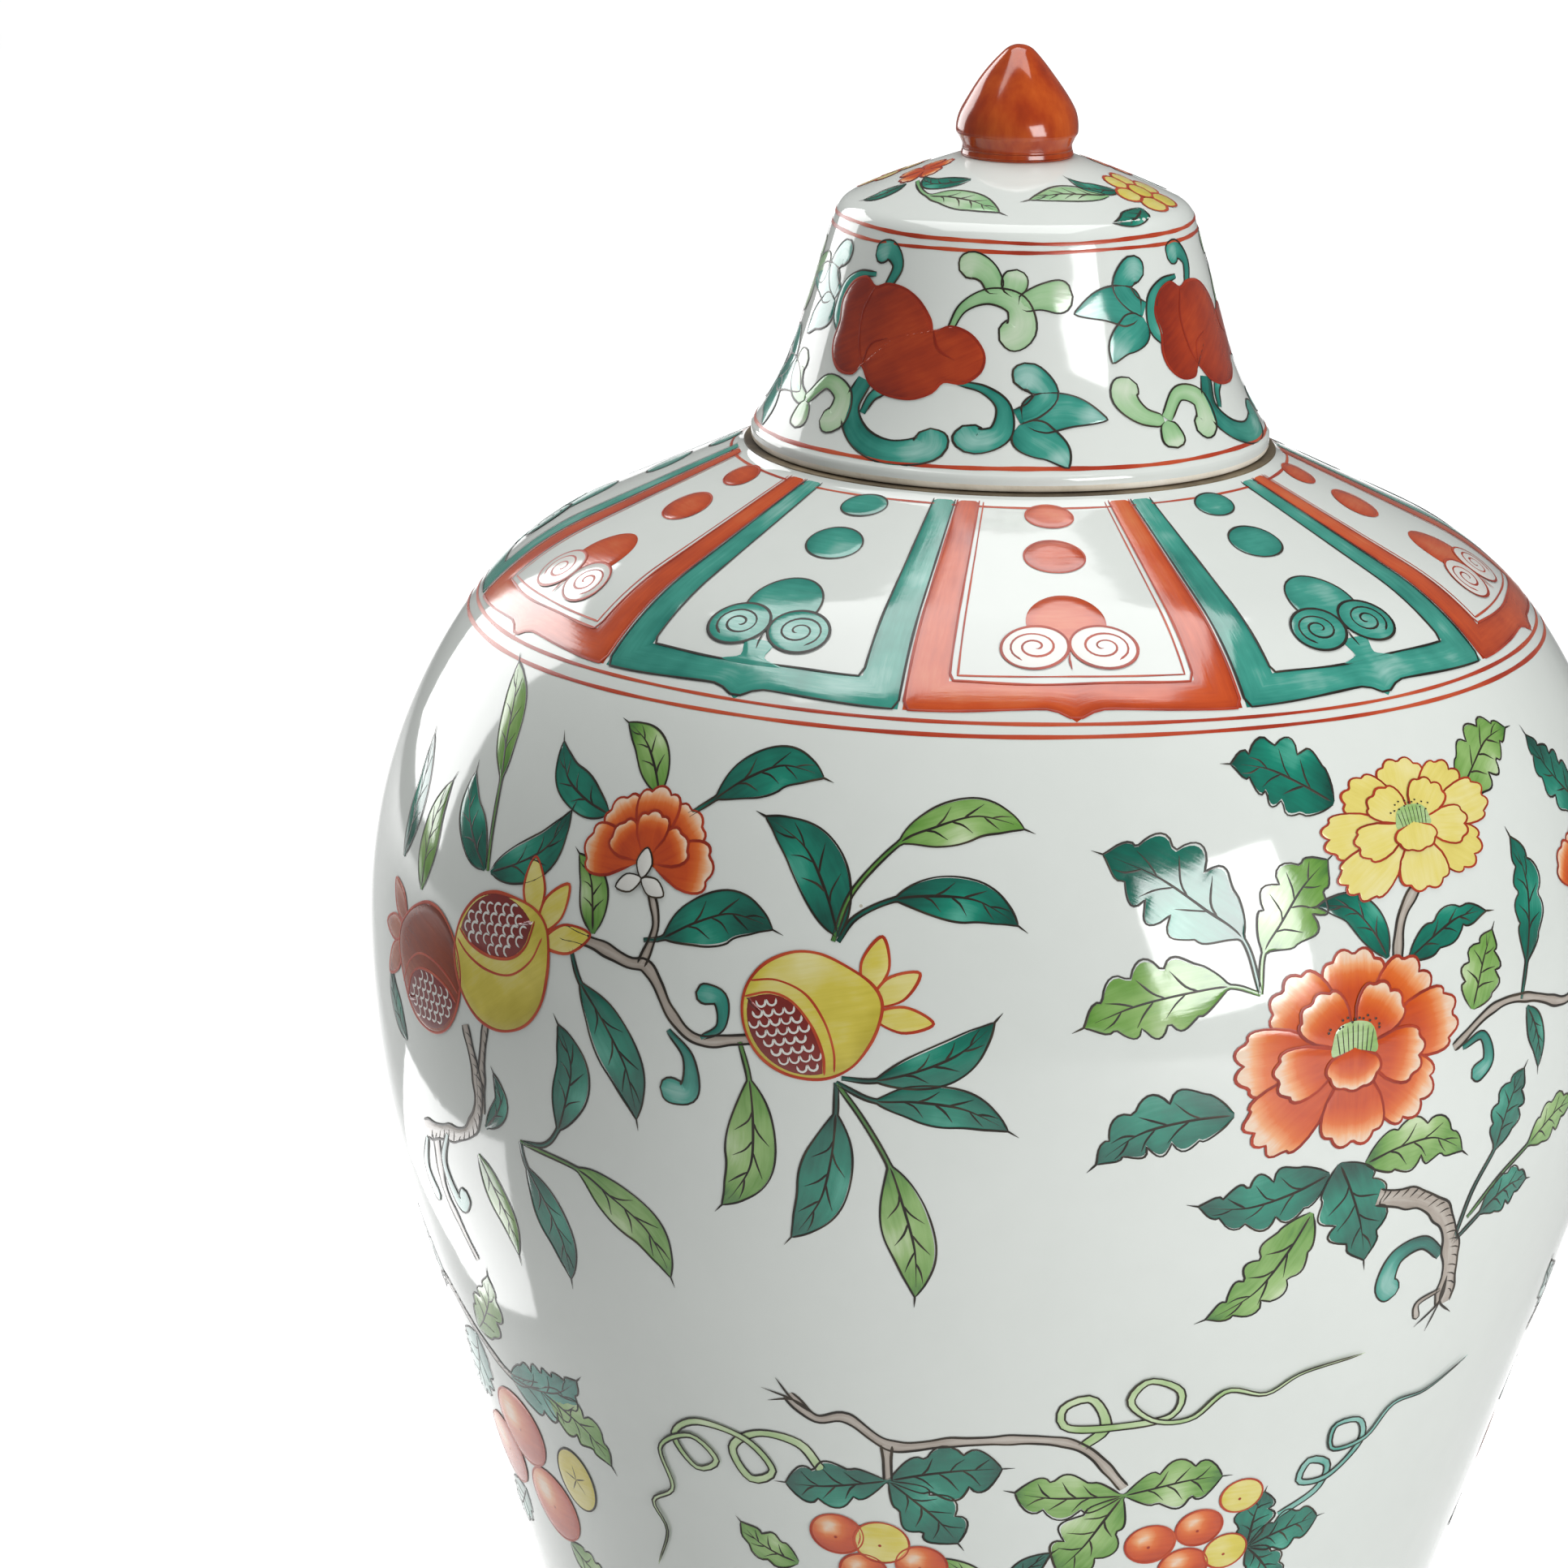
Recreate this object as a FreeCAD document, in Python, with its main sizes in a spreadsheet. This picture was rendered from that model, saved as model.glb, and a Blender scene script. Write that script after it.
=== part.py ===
"""Covered porcelain baluster jar with a hat-shaped lid and a bud finial, as the potter's luted sections.

Frame: origin at the centre of the foot ring's ground face, +Z up, millimetres.
The jar is one turned wall, thrown as a lower and an upper section that meet at the luting seam.
A collar, luted on the flat biscuit seat, forms the mouth. The lid rests on that seat, round the collar.
"""

import FreeCAD, Part

import math
import os

import Sketcher

DIMENSIONS = {
    # jar, outside
    "foot_radius": 75.0,
    "foot_height": 14.0,
    "foot_flare_angle": 8.0,
    "waist_arc": 90.0,
    "belly_lower_arc": 200.0,
    "belly_radius": 135.0,
    "belly_height": 259.0,
    "belly_upper_arc": 115.0,
    "belly_upper_turn": 33.0,
    "shoulder_arc": 65.0,
    "shoulder_turn": 32.0,
    # jar, wall and floor
    "jar_wall": 5.5,
    "floor_thickness": 7.0,
    "floor_corner": 12.0,
    "foot_ring_width": 8.0,
    "foot_recess": 7.0,
    "foot_bevel": 1.5,
    "seam_height": 188.0,
    # lid seat and collar
    "seat_radius": 56.2,
    "seat_step": 0.8,
    "seat_thickness": 7.0,
    "collar_wall": 4.5,
    "collar_height": 24.0,
    "collar_lip_round": 1.8,
    # lid
    "lid_height": 61.0,
    "lid_wall": 4.2,
    "lid_top_thickness": 5.6,
    "lid_seat_margin": 1.5,
    "lid_play": 2.0,
    "crown_arc": 240.0,
    "crown_drop": 10.1,
    "crown_edge_round": 2.6,
    "skirt_angle": 16.2,
    "flare_angle": 35.0,
    "flare_start": 23.4,
    "rim_band": 3.4,
    "rim_round": 2.0,
    # finial
    "landing_margin": 0.6,
    "bud_radius": 12.85,
    "bud_height": 5.6,
    "bud_lower_arc": 4.0,
    "bud_lower_turn": 42.0,
    "bud_neck_arc": 1.8,
    "bud_neck_turn": 80.0,
    "bud_upper_arc": 10.0,
    "bud_upper_turn": 28.0,
    "bud_side_arc": 50.0,
    "bud_side_turn": 16.5,
    "bud_foot_round": 0.5,
}

# The skirt leans in by its angle, so the collar's outside is counted from the skirt's inner face
# at the collar's own height. The mouth is what the collar's wall leaves.
SKIRT_FOOT_RADIUS = (
    "(dims.seat_radius - dims.lid_seat_margin"
    " - (dims.flare_start - dims.rim_band) * (cos(dims.skirt_angle) - cos(dims.flare_angle))"
    " / (sin(dims.flare_angle) - sin(dims.skirt_angle)))"
)
COLLAR_RADIUS = (
    f"({SKIRT_FOOT_RADIUS} + (dims.flare_start - dims.collar_height) * tan(dims.skirt_angle)"
    " - dims.lid_wall / cos(dims.skirt_angle) - dims.lid_play)"
)
MOUTH_RADIUS = f"({COLLAR_RADIUS} - dims.collar_wall)"

SEAM_TOOL_MARGIN = 20.0
EDGE_TOLERANCE = 0.02

doc = FreeCAD.newDocument("covered_jar")


def make_sheet():
    """Writes each driving dimension to its own cell, as a plain number with an alias."""
    sheet = doc.addObject("Spreadsheet::Sheet", "dims")
    for row, (alias, value) in enumerate(DIMENSIONS.items(), start=1):
        sheet.set(f"A{row}", alias)
        sheet.set(f"B{row}", str(value))
        sheet.setAlias(f"B{row}", alias)
    doc.recompute()
    return sheet


def size(alias):
    """A driving dimension's value, for placing a sketch's first geometry."""
    return float(getattr(sheet, alias))


def polar(centre, radius, degrees):
    """The point at a radius and an angle about a centre, in a sketch's plane."""
    angle = math.radians(degrees)
    return (centre[0] + radius * math.cos(angle), centre[1] + radius * math.sin(angle))


def evaluate(thing, expression):
    """An expression's present value, as an object of the document reads it."""
    value = thing.evalExpression(expression)
    return float(getattr(value, "Value", value))


def origin_feature(body, role):
    """One of a body's own origin planes or axes, by its role."""
    return next(f for f in body.Origin.OriginFeatures if f.Role == role)


class Outline:
    """A closed outline in a body's XZ plane, drawn piece by piece: x is the radius and y the height."""

    START, END, CENTRE = 1, 2, 3
    ORIGIN = (-1, 1)

    def __init__(self, body, name):
        self.sketch = body.newObject("Sketcher::SketchObject", name)
        self.sketch.AttachmentSupport = [(origin_feature(body, "XZ_Plane"), "")]
        self.sketch.MapMode = "FlatFace"
        self.pieces = []

    def line(self, start, end):
        """A straight piece. Returns its number."""
        a, b = (FreeCAD.Vector(*p, 0) for p in (start, end))
        number = self.sketch.addGeometry(Part.LineSegment(a, b), False)
        self.pieces.append((number, self.START, self.END))
        return number

    def arc(self, centre, radius, first, last):
        """A round piece from angle first to angle last, in degrees, turning either way."""
        circle = Part.Circle(FreeCAD.Vector(*centre, 0), FreeCAD.Vector(0, 0, 1), radius)
        low, high = math.radians(min(first, last)), math.radians(max(first, last))
        number = self.sketch.addGeometry(Part.ArcOfCircle(circle, low, high), False)
        ends = (self.START, self.END) if last > first else (self.END, self.START)
        self.pieces.append((number, *ends))
        return number

    def rule(self, kind, *where):
        """A constraint without a size."""
        self.sketch.addConstraint(Sketcher.Constraint(kind, *where))

    def bind(self, kind, where, expression, name):
        """A constraint whose size is an expression of the sheet's cells."""
        value = evaluate(self.sketch, expression)
        if kind == "Angle":
            value = math.radians(value)
        number = self.sketch.addConstraint(Sketcher.Constraint(kind, *where, value))
        self.sketch.renameConstraint(number, name)
        self.sketch.setExpression(f"Constraints.{name}", expression)

    def measure(self, kind, where, name):
        """A reference constraint, which other objects can read by its name."""
        number = self.sketch.addConstraint(Sketcher.Constraint(kind, *where, 1.0))
        self.sketch.setDriving(number, False)
        self.sketch.renameConstraint(number, name)

    def close(self, smooth=()):
        """Joins each piece's end to the next one's start, tangent where smooth names the first piece."""
        following = self.pieces[1:] + self.pieces[:1]
        for (number, _, leaves), (other, enters, _) in zip(self.pieces, following):
            kind = "Tangent" if number in smooth else "Coincident"
            self.rule(kind, number, leaves, other, enters)

    def revolve(self, body):
        """Turns the outline a full turn about the vertical axis."""
        turned = body.newObject("PartDesign::Revolution", body.Name + "_turned")
        turned.Profile = self.sketch
        turned.ReferenceAxis = (self.sketch, ["V_Axis"])
        turned.Angle = 360.0
        self.sketch.Visibility = False
        doc.recompute()
        return turned


def round_edges(body, base, name, places, radius):
    """A fillet on the base's circular edges at these (radius, height) places."""
    fillet = body.newObject("PartDesign::Fillet", name)
    fillet.Base = (base, ring_edges(base.Shape, places))
    fillet.setExpression("Radius", radius)
    doc.recompute()
    return fillet


def ring_edges(shape, places):
    """The names of a shape's circular edges about Z at these (radius, height) places."""
    found = []
    for number, edge in enumerate(shape.Edges, start=1):
        if edge.Degenerated or not isinstance(edge.Curve, Part.Circle):
            continue
        here = (edge.Curve.Radius, edge.Curve.Center.z)
        if any(math.dist(here, place) < EDGE_TOLERANCE for place in places):
            found.append(f"Edge{number}")
    if len(found) != len(places):
        raise ValueError(f"{len(places)} rings wanted and {len(found)} found")
    return found


def jar_outline(body):
    """The whole jar's wall: belly arcs, shoulder cone, flat seat, concave waist and foot ring."""
    wall = size("jar_wall")
    belly = (size("belly_radius"), size("belly_height"))
    lower_arc, upper_arc = size("belly_lower_arc"), size("belly_upper_arc")
    shoulder_arc, waist_arc = size("shoulder_arc"), size("waist_arc")
    upper_turn = size("belly_upper_turn")
    slope = upper_turn + size("shoulder_turn")

    lower_centre = (belly[0] - lower_arc, belly[1])
    upper_centre = (belly[0] - upper_arc, belly[1])
    shoulder_centre = polar(upper_centre, upper_arc - shoulder_arc, upper_turn)

    foot_top = (size("foot_radius"), size("foot_height"))
    flare = size("foot_flare_angle")
    waist_centre = polar(foot_top, waist_arc, flare)
    between = math.dist(lower_centre, waist_centre)
    bearing = math.degrees(
        math.atan2(waist_centre[1] - lower_centre[1], waist_centre[0] - lower_centre[0])
    )
    taper = bearing + math.degrees(math.acos((lower_arc + waist_arc) / between))

    shoulder_top = polar(shoulder_centre, shoulder_arc, slope)
    rise = (shoulder_top[0] - size("seat_radius")) / math.tan(math.radians(slope))
    step_foot = (size("seat_radius"), shoulder_top[1] + rise)
    seat = step_foot[1] + size("seat_step")
    ceiling = seat - size("seat_thickness")
    inner_top = polar(shoulder_centre, shoulder_arc - wall, slope)
    ceiling_edge = inner_top[0] - (ceiling - inner_top[1]) * math.tan(math.radians(slope))

    recess = size("foot_recess")
    floor = recess + size("floor_thickness")
    corner = size("floor_corner")
    corner_height = floor + corner
    reach = waist_arc + wall + corner
    corner_centre = (
        waist_centre[0] - math.sqrt(reach**2 - (waist_centre[1] - corner_height) ** 2),
        corner_height,
    )
    corner_angle = math.degrees(
        math.atan2(waist_centre[1] - corner_height, waist_centre[0] - corner_centre[0])
    )
    ring_inside = size("foot_radius") - size("foot_ring_width")

    o = Outline(body, "jar_profile")
    mouth = evaluate(o.sketch, MOUTH_RADIUS)
    axis = o.line((0, recess), (0, floor))
    floor_line = o.line((0, floor), (corner_centre[0], floor))
    corner_arc = o.arc(corner_centre, corner, -90, corner_angle)
    waist_in = o.arc(waist_centre, waist_arc + wall, 180 + corner_angle, 180 + taper)
    taper_in = o.line(
        polar(waist_centre, waist_arc + wall, 180 + taper),
        polar(lower_centre, lower_arc - wall, taper),
    )
    lower_in = o.arc(lower_centre, lower_arc - wall, taper, 0)
    upper_in = o.arc(upper_centre, upper_arc - wall, 0, upper_turn)
    shoulder_in = o.arc(shoulder_centre, shoulder_arc - wall, upper_turn, slope)
    cone_in = o.line(inner_top, (ceiling_edge, ceiling))
    ceiling_line = o.line((ceiling_edge, ceiling), (mouth, ceiling))
    mouth_line = o.line((mouth, ceiling), (mouth, seat))
    seat_line = o.line((mouth, seat), (size("seat_radius"), seat))
    step_line = o.line((size("seat_radius"), seat), step_foot)
    cone_out = o.line(step_foot, shoulder_top)
    shoulder_out = o.arc(shoulder_centre, shoulder_arc, slope, upper_turn)
    upper_out = o.arc(upper_centre, upper_arc, upper_turn, 0)
    lower_out = o.arc(lower_centre, lower_arc, 0, taper)
    taper_out = o.line(
        polar(lower_centre, lower_arc, taper), polar(waist_centre, waist_arc, 180 + taper)
    )
    waist_out = o.arc(waist_centre, waist_arc, 180 + taper, 180 + flare)
    foot_line = o.line(foot_top, (foot_top[0], 0))
    ground_line = o.line((foot_top[0], 0), (ring_inside, 0))
    ring_line = o.line((ring_inside, 0), (ring_inside, recess))
    recess_line = o.line((ring_inside, recess), (0, recess))

    inside = (floor_line, corner_arc, waist_in, taper_in, lower_in, upper_in, shoulder_in)
    outside = (cone_out, shoulder_out, upper_out, lower_out, taper_out)
    o.close(smooth=inside + outside)
    for level in (floor_line, ceiling_line, seat_line, ground_line, recess_line):
        o.rule("Horizontal", level)
    for upright in (axis, mouth_line, step_line, foot_line, ring_line):
        o.rule("Vertical", upright)
    for inner, outer in (
        (waist_in, waist_out),
        (lower_in, lower_out),
        (upper_in, upper_out),
        (shoulder_in, shoulder_out),
    ):
        o.rule("Coincident", inner, o.CENTRE, outer, o.CENTRE)
    o.rule("Parallel", cone_in, cone_out)

    o.bind("Radius", (corner_arc,), "dims.floor_corner", "floor_corner")
    o.bind("Radius", (waist_out,), "dims.waist_arc", "waist_outside")
    o.bind("Radius", (waist_in,), "dims.waist_arc + dims.jar_wall", "waist_inside")
    o.bind("Radius", (lower_out,), "dims.belly_lower_arc", "lower_outside")
    o.bind("Radius", (lower_in,), "dims.belly_lower_arc - dims.jar_wall", "lower_inside")
    o.bind("Radius", (upper_out,), "dims.belly_upper_arc", "upper_outside")
    o.bind("Radius", (shoulder_out,), "dims.shoulder_arc", "shoulder_outside")
    o.bind("Angle", (upper_out,), "dims.belly_upper_turn", "upper_turn")
    o.bind("Angle", (shoulder_out,), "dims.shoulder_turn", "shoulder_turn")
    o.bind("DistanceX", (*o.ORIGIN, upper_out, o.START), "dims.belly_radius", "belly_radius")
    o.bind("DistanceY", (*o.ORIGIN, upper_out, o.START), "dims.belly_height", "belly_height")
    o.rule("Horizontal", lower_out, o.CENTRE, upper_out, o.START)
    o.bind("DistanceX", (*o.ORIGIN, step_line, o.END), "dims.seat_radius", "seat_radius")
    o.bind("DistanceY", (step_line, o.END, step_line, o.START), "dims.seat_step", "seat_step")
    o.bind("DistanceX", (*o.ORIGIN, mouth_line, o.END), MOUTH_RADIUS, "mouth_radius")
    o.bind(
        "DistanceY",
        (mouth_line, o.START, mouth_line, o.END),
        "dims.seat_thickness",
        "seat_thickness",
    )
    o.bind("DistanceX", (*o.ORIGIN, foot_line, o.START), "dims.foot_radius", "foot_radius")
    o.bind("DistanceY", (*o.ORIGIN, foot_line, o.START), "dims.foot_height", "foot_height")
    o.bind(
        "DistanceY",
        (foot_line, o.START, waist_out, o.CENTRE),
        "dims.waist_arc * sin(dims.foot_flare_angle)",
        "waist_rise",
    )
    o.rule("PointOnObject", ground_line, o.START, -1)
    o.bind(
        "DistanceX",
        (ground_line, o.END, ground_line, o.START),
        "dims.foot_ring_width",
        "ring_width",
    )
    o.bind("DistanceY", (*o.ORIGIN, axis, o.START), "dims.foot_recess", "foot_recess")
    o.rule("PointOnObject", axis, o.START, -2)
    o.bind("DistanceY", (axis, o.START, axis, o.END), "dims.floor_thickness", "floor_thickness")
    o.measure("DistanceY", (*o.ORIGIN, seat_line, o.START), "seat_level")
    return o


def make_jar():
    """The full turned jar, from which the potter's two sections are cut at the seam."""
    body = doc.addObject("PartDesign::Body", "jar_form")
    turned = jar_outline(body).revolve(body)
    chamfer = body.newObject("PartDesign::Chamfer", "foot_bevel")
    ground_rings = [(size("foot_radius"), 0), (size("foot_radius") - size("foot_ring_width"), 0)]
    chamfer.Base = (turned, ring_edges(turned.Shape, ground_rings))
    chamfer.setExpression("Size", "dims.foot_bevel")
    doc.recompute()
    return body


def make_sections(jar):
    """The lower section up to the luting seam, and the upper section from there to the seat."""
    below = doc.addObject("Part::Cylinder", "below_seam")
    below.setExpression("Radius", f"dims.belly_radius + {SEAM_TOOL_MARGIN}")
    below.setExpression("Height", "dims.seam_height")
    lower = doc.addObject("Part::Common", "jar_lower_section")
    lower.Base, lower.Tool = jar, below
    upper = doc.addObject("Part::Cut", "jar_upper_section")
    upper.Base, upper.Tool = jar, below
    return lower, upper


def make_finial():
    """A solid lotus bud on a turned foot. Its height is counted from the lid's flat landing."""
    bud = (size("bud_radius"), size("bud_height"))
    lower_turn = size("bud_lower_turn")
    lower_arc, neck_arc = size("bud_lower_arc"), size("bud_neck_arc")
    upper_arc, side_arc = size("bud_upper_arc"), size("bud_side_arc")
    upper_turn = size("bud_upper_turn")
    tip_angle = upper_turn + size("bud_side_turn")
    foot_angle = size("bud_neck_turn") - lower_turn

    lower_centre = (bud[0] - lower_arc, bud[1])
    neck_centre = polar(lower_centre, lower_arc + neck_arc, -lower_turn)
    foot_top = polar(neck_centre, neck_arc, 180 + foot_angle)
    upper_centre = (bud[0] - upper_arc, bud[1])
    side_centre = polar(upper_centre, upper_arc - side_arc, upper_turn)
    side_top = polar(side_centre, side_arc, tip_angle)
    tip_round = side_top[0] / math.cos(math.radians(tip_angle))
    tip_centre = (0, side_top[1] - tip_round * math.sin(math.radians(tip_angle)))

    body = doc.addObject("PartDesign::Body", "lid_finial")
    o = Outline(body, "finial_profile")
    base = o.line((0, 0), (foot_top[0], 0))
    foot = o.line((foot_top[0], 0), foot_top)
    neck = o.arc(neck_centre, neck_arc, 180 + foot_angle, 180 - lower_turn)
    lower = o.arc(lower_centre, lower_arc, -lower_turn, 0)
    upper = o.arc(upper_centre, upper_arc, 0, upper_turn)
    side = o.arc(side_centre, side_arc, upper_turn, tip_angle)
    tip = o.arc(tip_centre, tip_round, tip_angle, 90)
    axis = o.line((0, tip_centre[1] + tip_round), (0, 0))
    o.close(smooth=(neck, lower, upper, side))
    o.rule("Horizontal", base)
    o.rule("Vertical", foot)
    o.rule("Vertical", axis)
    o.rule("Coincident", base, o.START, *o.ORIGIN)
    o.rule("PointOnObject", tip, o.CENTRE, -2)
    o.bind("Radius", (neck,), "dims.bud_neck_arc", "neck_arc")
    o.bind("Radius", (lower,), "dims.bud_lower_arc", "lower_arc")
    o.bind("Radius", (upper,), "dims.bud_upper_arc", "upper_arc")
    o.bind("Radius", (side,), "dims.bud_side_arc", "side_arc")
    o.bind("Angle", (neck,), "dims.bud_neck_turn", "neck_turn")
    o.bind("Angle", (lower,), "dims.bud_lower_turn", "lower_turn")
    o.bind("Angle", (upper,), "dims.bud_upper_turn", "upper_turn")
    o.bind("Angle", (side,), "dims.bud_side_turn", "side_turn")
    o.bind("DistanceX", (*o.ORIGIN, upper, o.START), "dims.bud_radius", "bud_radius")
    o.bind("DistanceY", (*o.ORIGIN, upper, o.START), "dims.bud_height", "bud_height")
    o.rule("Horizontal", lower, o.CENTRE, upper, o.START)
    o.measure("DistanceX", (*o.ORIGIN, foot, o.START), "foot_radius")
    turned = o.revolve(body)
    round_edges(body, turned, "finial_foot_round", [(foot_top[0], 0)], "dims.bud_foot_round")
    return body


def make_lid():
    """The hat-shaped cover: flat landing, crown, straight skirt and flared rim of even wall."""
    height, wall = size("lid_height"), size("lid_wall")
    rim = size("seat_radius") - size("lid_seat_margin")
    band, start = size("rim_band"), size("flare_start")
    skirt, flare = size("skirt_angle"), size("flare_angle")
    sine = math.sin(math.radians(flare)) - math.sin(math.radians(skirt))
    cosine = math.cos(math.radians(skirt)) - math.cos(math.radians(flare))
    flare_arc = (start - band) / sine
    skirt_foot = (rim - flare_arc * cosine, start)
    flare_centre = polar(skirt_foot, flare_arc, skirt)
    slope = math.tan(math.radians(skirt))

    finial_foot = float(doc.finial_profile.getDatum("foot_radius"))
    landing = (finial_foot + size("landing_margin"), height)
    edge_height = height - size("crown_drop")
    edge = (skirt_foot[0] - (edge_height - start) * slope, edge_height)
    crown_arc = size("crown_arc")
    chord = math.dist(landing, edge)
    bearing = math.atan2(edge[1] - landing[1], edge[0] - landing[0])
    sagitta = math.sqrt(crown_arc**2 - (chord / 2) ** 2)
    crown_centre = (
        (landing[0] + edge[0]) / 2 + sagitta * math.sin(bearing),
        (landing[1] + edge[1]) / 2 - sagitta * math.cos(bearing),
    )

    def angle_to(point):
        return math.degrees(
            math.atan2(point[1] - crown_centre[1], point[0] - crown_centre[0])
        )

    inner_arc = crown_arc - wall
    inner_foot = polar(flare_centre, flare_arc + wall, 180 + skirt)
    edge_in = (inner_foot[0], inner_foot[1])
    for _ in range(40):
        drop = math.sqrt(inner_arc**2 - (edge_in[0] - crown_centre[0]) ** 2)
        level = crown_centre[1] + drop
        edge_in = (inner_foot[0] - (level - inner_foot[1]) * slope, level)
    ceiling = height - size("lid_top_thickness")
    ceiling_edge = (
        crown_centre[0] + math.sqrt(inner_arc**2 - (ceiling - crown_centre[1]) ** 2),
        ceiling,
    )
    rim_inside = flare_centre[0] - math.sqrt((flare_arc + wall) ** 2 - flare_centre[1] ** 2)
    rim_angle = math.degrees(math.asin(flare_centre[1] / (flare_arc + wall)))

    body = doc.addObject("PartDesign::Body", "lid_cover")
    o = Outline(body, "lid_profile")
    landing_line = o.line((0, height), landing)
    crown_out = o.arc(crown_centre, crown_arc, angle_to(landing), angle_to(edge))
    skirt_out = o.line(edge, skirt_foot)
    flare_out = o.arc(flare_centre, flare_arc, 180 + skirt, 180 + flare)
    band_line = o.line((rim, band), (rim, 0))
    rim_line = o.line((rim, 0), (rim_inside, 0))
    flare_in = o.arc(flare_centre, flare_arc + wall, 180 + rim_angle, 180 + skirt)
    skirt_in = o.line(inner_foot, edge_in)
    crown_in = o.arc(crown_centre, inner_arc, angle_to(edge_in), angle_to(ceiling_edge))
    ceiling_line = o.line(ceiling_edge, (0, ceiling))
    axis = o.line((0, ceiling), (0, height))
    o.close(smooth=(skirt_out, flare_in))
    for level in (landing_line, rim_line, ceiling_line):
        o.rule("Horizontal", level)
    o.rule("Vertical", band_line)
    o.rule("Vertical", axis)
    o.rule("Coincident", flare_in, o.CENTRE, flare_out, o.CENTRE)
    o.rule("Coincident", crown_in, o.CENTRE, crown_out, o.CENTRE)
    o.rule("Parallel", skirt_in, skirt_out)
    o.bind("Distance", (skirt_in, o.START, skirt_out), "dims.lid_wall", "skirt_wall")
    o.bind("Radius", (crown_out,), "dims.crown_arc", "crown_arc")
    o.bind("Radius", (crown_in,), "dims.crown_arc - dims.lid_wall", "crown_inside")
    o.rule("PointOnObject", landing_line, o.START, -2)
    o.bind("DistanceY", (*o.ORIGIN, landing_line, o.START), "dims.lid_height", "lid_height")
    o.bind("DistanceY", (axis, o.START, axis, o.END), "dims.lid_top_thickness", "lid_top")
    o.bind(
        "DistanceX",
        (*o.ORIGIN, landing_line, o.END),
        "finial_profile.Constraints.foot_radius / 1 mm + dims.landing_margin",
        "landing_radius",
    )
    o.bind(
        "DistanceY",
        (skirt_out, o.START, landing_line, o.END),
        "dims.crown_drop",
        "crown_drop",
    )
    o.bind(
        "DistanceX",
        (skirt_out, o.START, skirt_out, o.END),
        "(dims.lid_height - dims.crown_drop - dims.flare_start) * tan(dims.skirt_angle)",
        "skirt_run",
    )
    o.bind("DistanceY", (*o.ORIGIN, skirt_out, o.END), "dims.flare_start", "flare_start")
    o.bind("Angle", (flare_out,), "dims.flare_angle - dims.skirt_angle", "flare_turn")
    o.bind(
        "DistanceX",
        (*o.ORIGIN, band_line, o.START),
        "dims.seat_radius - dims.lid_seat_margin",
        "rim_radius",
    )
    o.bind("DistanceY", (*o.ORIGIN, band_line, o.START), "dims.rim_band", "rim_band")
    o.rule("PointOnObject", band_line, o.END, -1)
    turned = o.revolve(body)
    crown = round_edges(body, turned, "crown_edge_round", [edge], "dims.crown_edge_round")
    round_edges(body, crown, "rim_round", [(rim, 0)], "dims.rim_round")
    return body


def make_collar():
    """The mouth's short upright collar. Its outside clears the lid's skirt by the lid's play."""
    height = size("collar_height")
    body = doc.addObject("PartDesign::Body", "jar_collar")
    o = Outline(body, "collar_profile")
    mouth, outside = evaluate(o.sketch, MOUTH_RADIUS), evaluate(o.sketch, COLLAR_RADIUS)
    base = o.line((mouth, 0), (outside, 0))
    outer = o.line((outside, 0), (outside, height))
    lip = o.line((outside, height), (mouth, height))
    inner = o.line((mouth, height), (mouth, 0))
    o.close()
    o.rule("Horizontal", lip)
    o.rule("Vertical", outer)
    o.rule("Vertical", inner)
    o.rule("PointOnObject", base, o.START, -1)
    o.rule("PointOnObject", base, o.END, -1)
    o.bind("DistanceX", (*o.ORIGIN, base, o.START), MOUTH_RADIUS, "mouth_radius")
    o.bind("DistanceX", (*o.ORIGIN, base, o.END), COLLAR_RADIUS, "collar_radius")
    o.bind("DistanceY", (*o.ORIGIN, outer, o.END), "dims.collar_height", "collar_height")
    turned = o.revolve(body)
    rings = [(outside, height), (mouth, height)]
    round_edges(body, turned, "collar_lip_round", rings, "dims.collar_lip_round")
    return body


def check(parts):
    """Stops the script if any object failed or any piece isn't a valid solid."""
    for thing in doc.Objects:
        if {"Invalid", "Error"} & set(thing.State):
            raise RuntimeError(f"{thing.Name} failed: {thing.State}")
        if thing.TypeId == "Sketcher::SketchObject" and thing.solve() != 0:
            raise RuntimeError(f"{thing.Name} isn't solved")
    for part in parts:
        shape = part.Shape
        if shape.isNull() or not shape.isValid() or not shape.Solids:
            raise RuntimeError(f"{part.Label} isn't a valid solid")


sheet = make_sheet()
jar = make_jar()
lower_section, upper_section = make_sections(jar)
finial = make_finial()
lid = make_lid()
collar = make_collar()
seat_level = "jar_profile.Constraints.seat_level"
collar.setExpression("Placement.Base.z", seat_level)
lid.setExpression("Placement.Base.z", seat_level)
finial.setExpression("Placement.Base.z", f"{seat_level} + dims.lid_height * 1 mm")
doc.recompute()

PARTS = [lower_section, upper_section, collar, lid, finial]
check(PARTS)
os.makedirs("parts", exist_ok=True)
for part in PARTS:
    part.Shape.exportStep(f"parts/{part.Label}.step")
    box = part.Shape.BoundBox
    print(f"{part.Label}: {part.Shape.Volume / 1000:.1f} cm3, z {box.ZMin:.2f} to {box.ZMax:.2f} mm,"
          f" radius {box.XMax:.2f} mm")
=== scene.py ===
"""Looks of a covered porcelain jar: glaze, biscuit, and overglaze enamels laid on as thin brushed relief.

Lengths are in millimetres until a point is placed. An angle of 0 faces the camera and grows to its right.
"""

import math

import bpy
import numpy as np
from mathutils import Matrix, Vector


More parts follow.
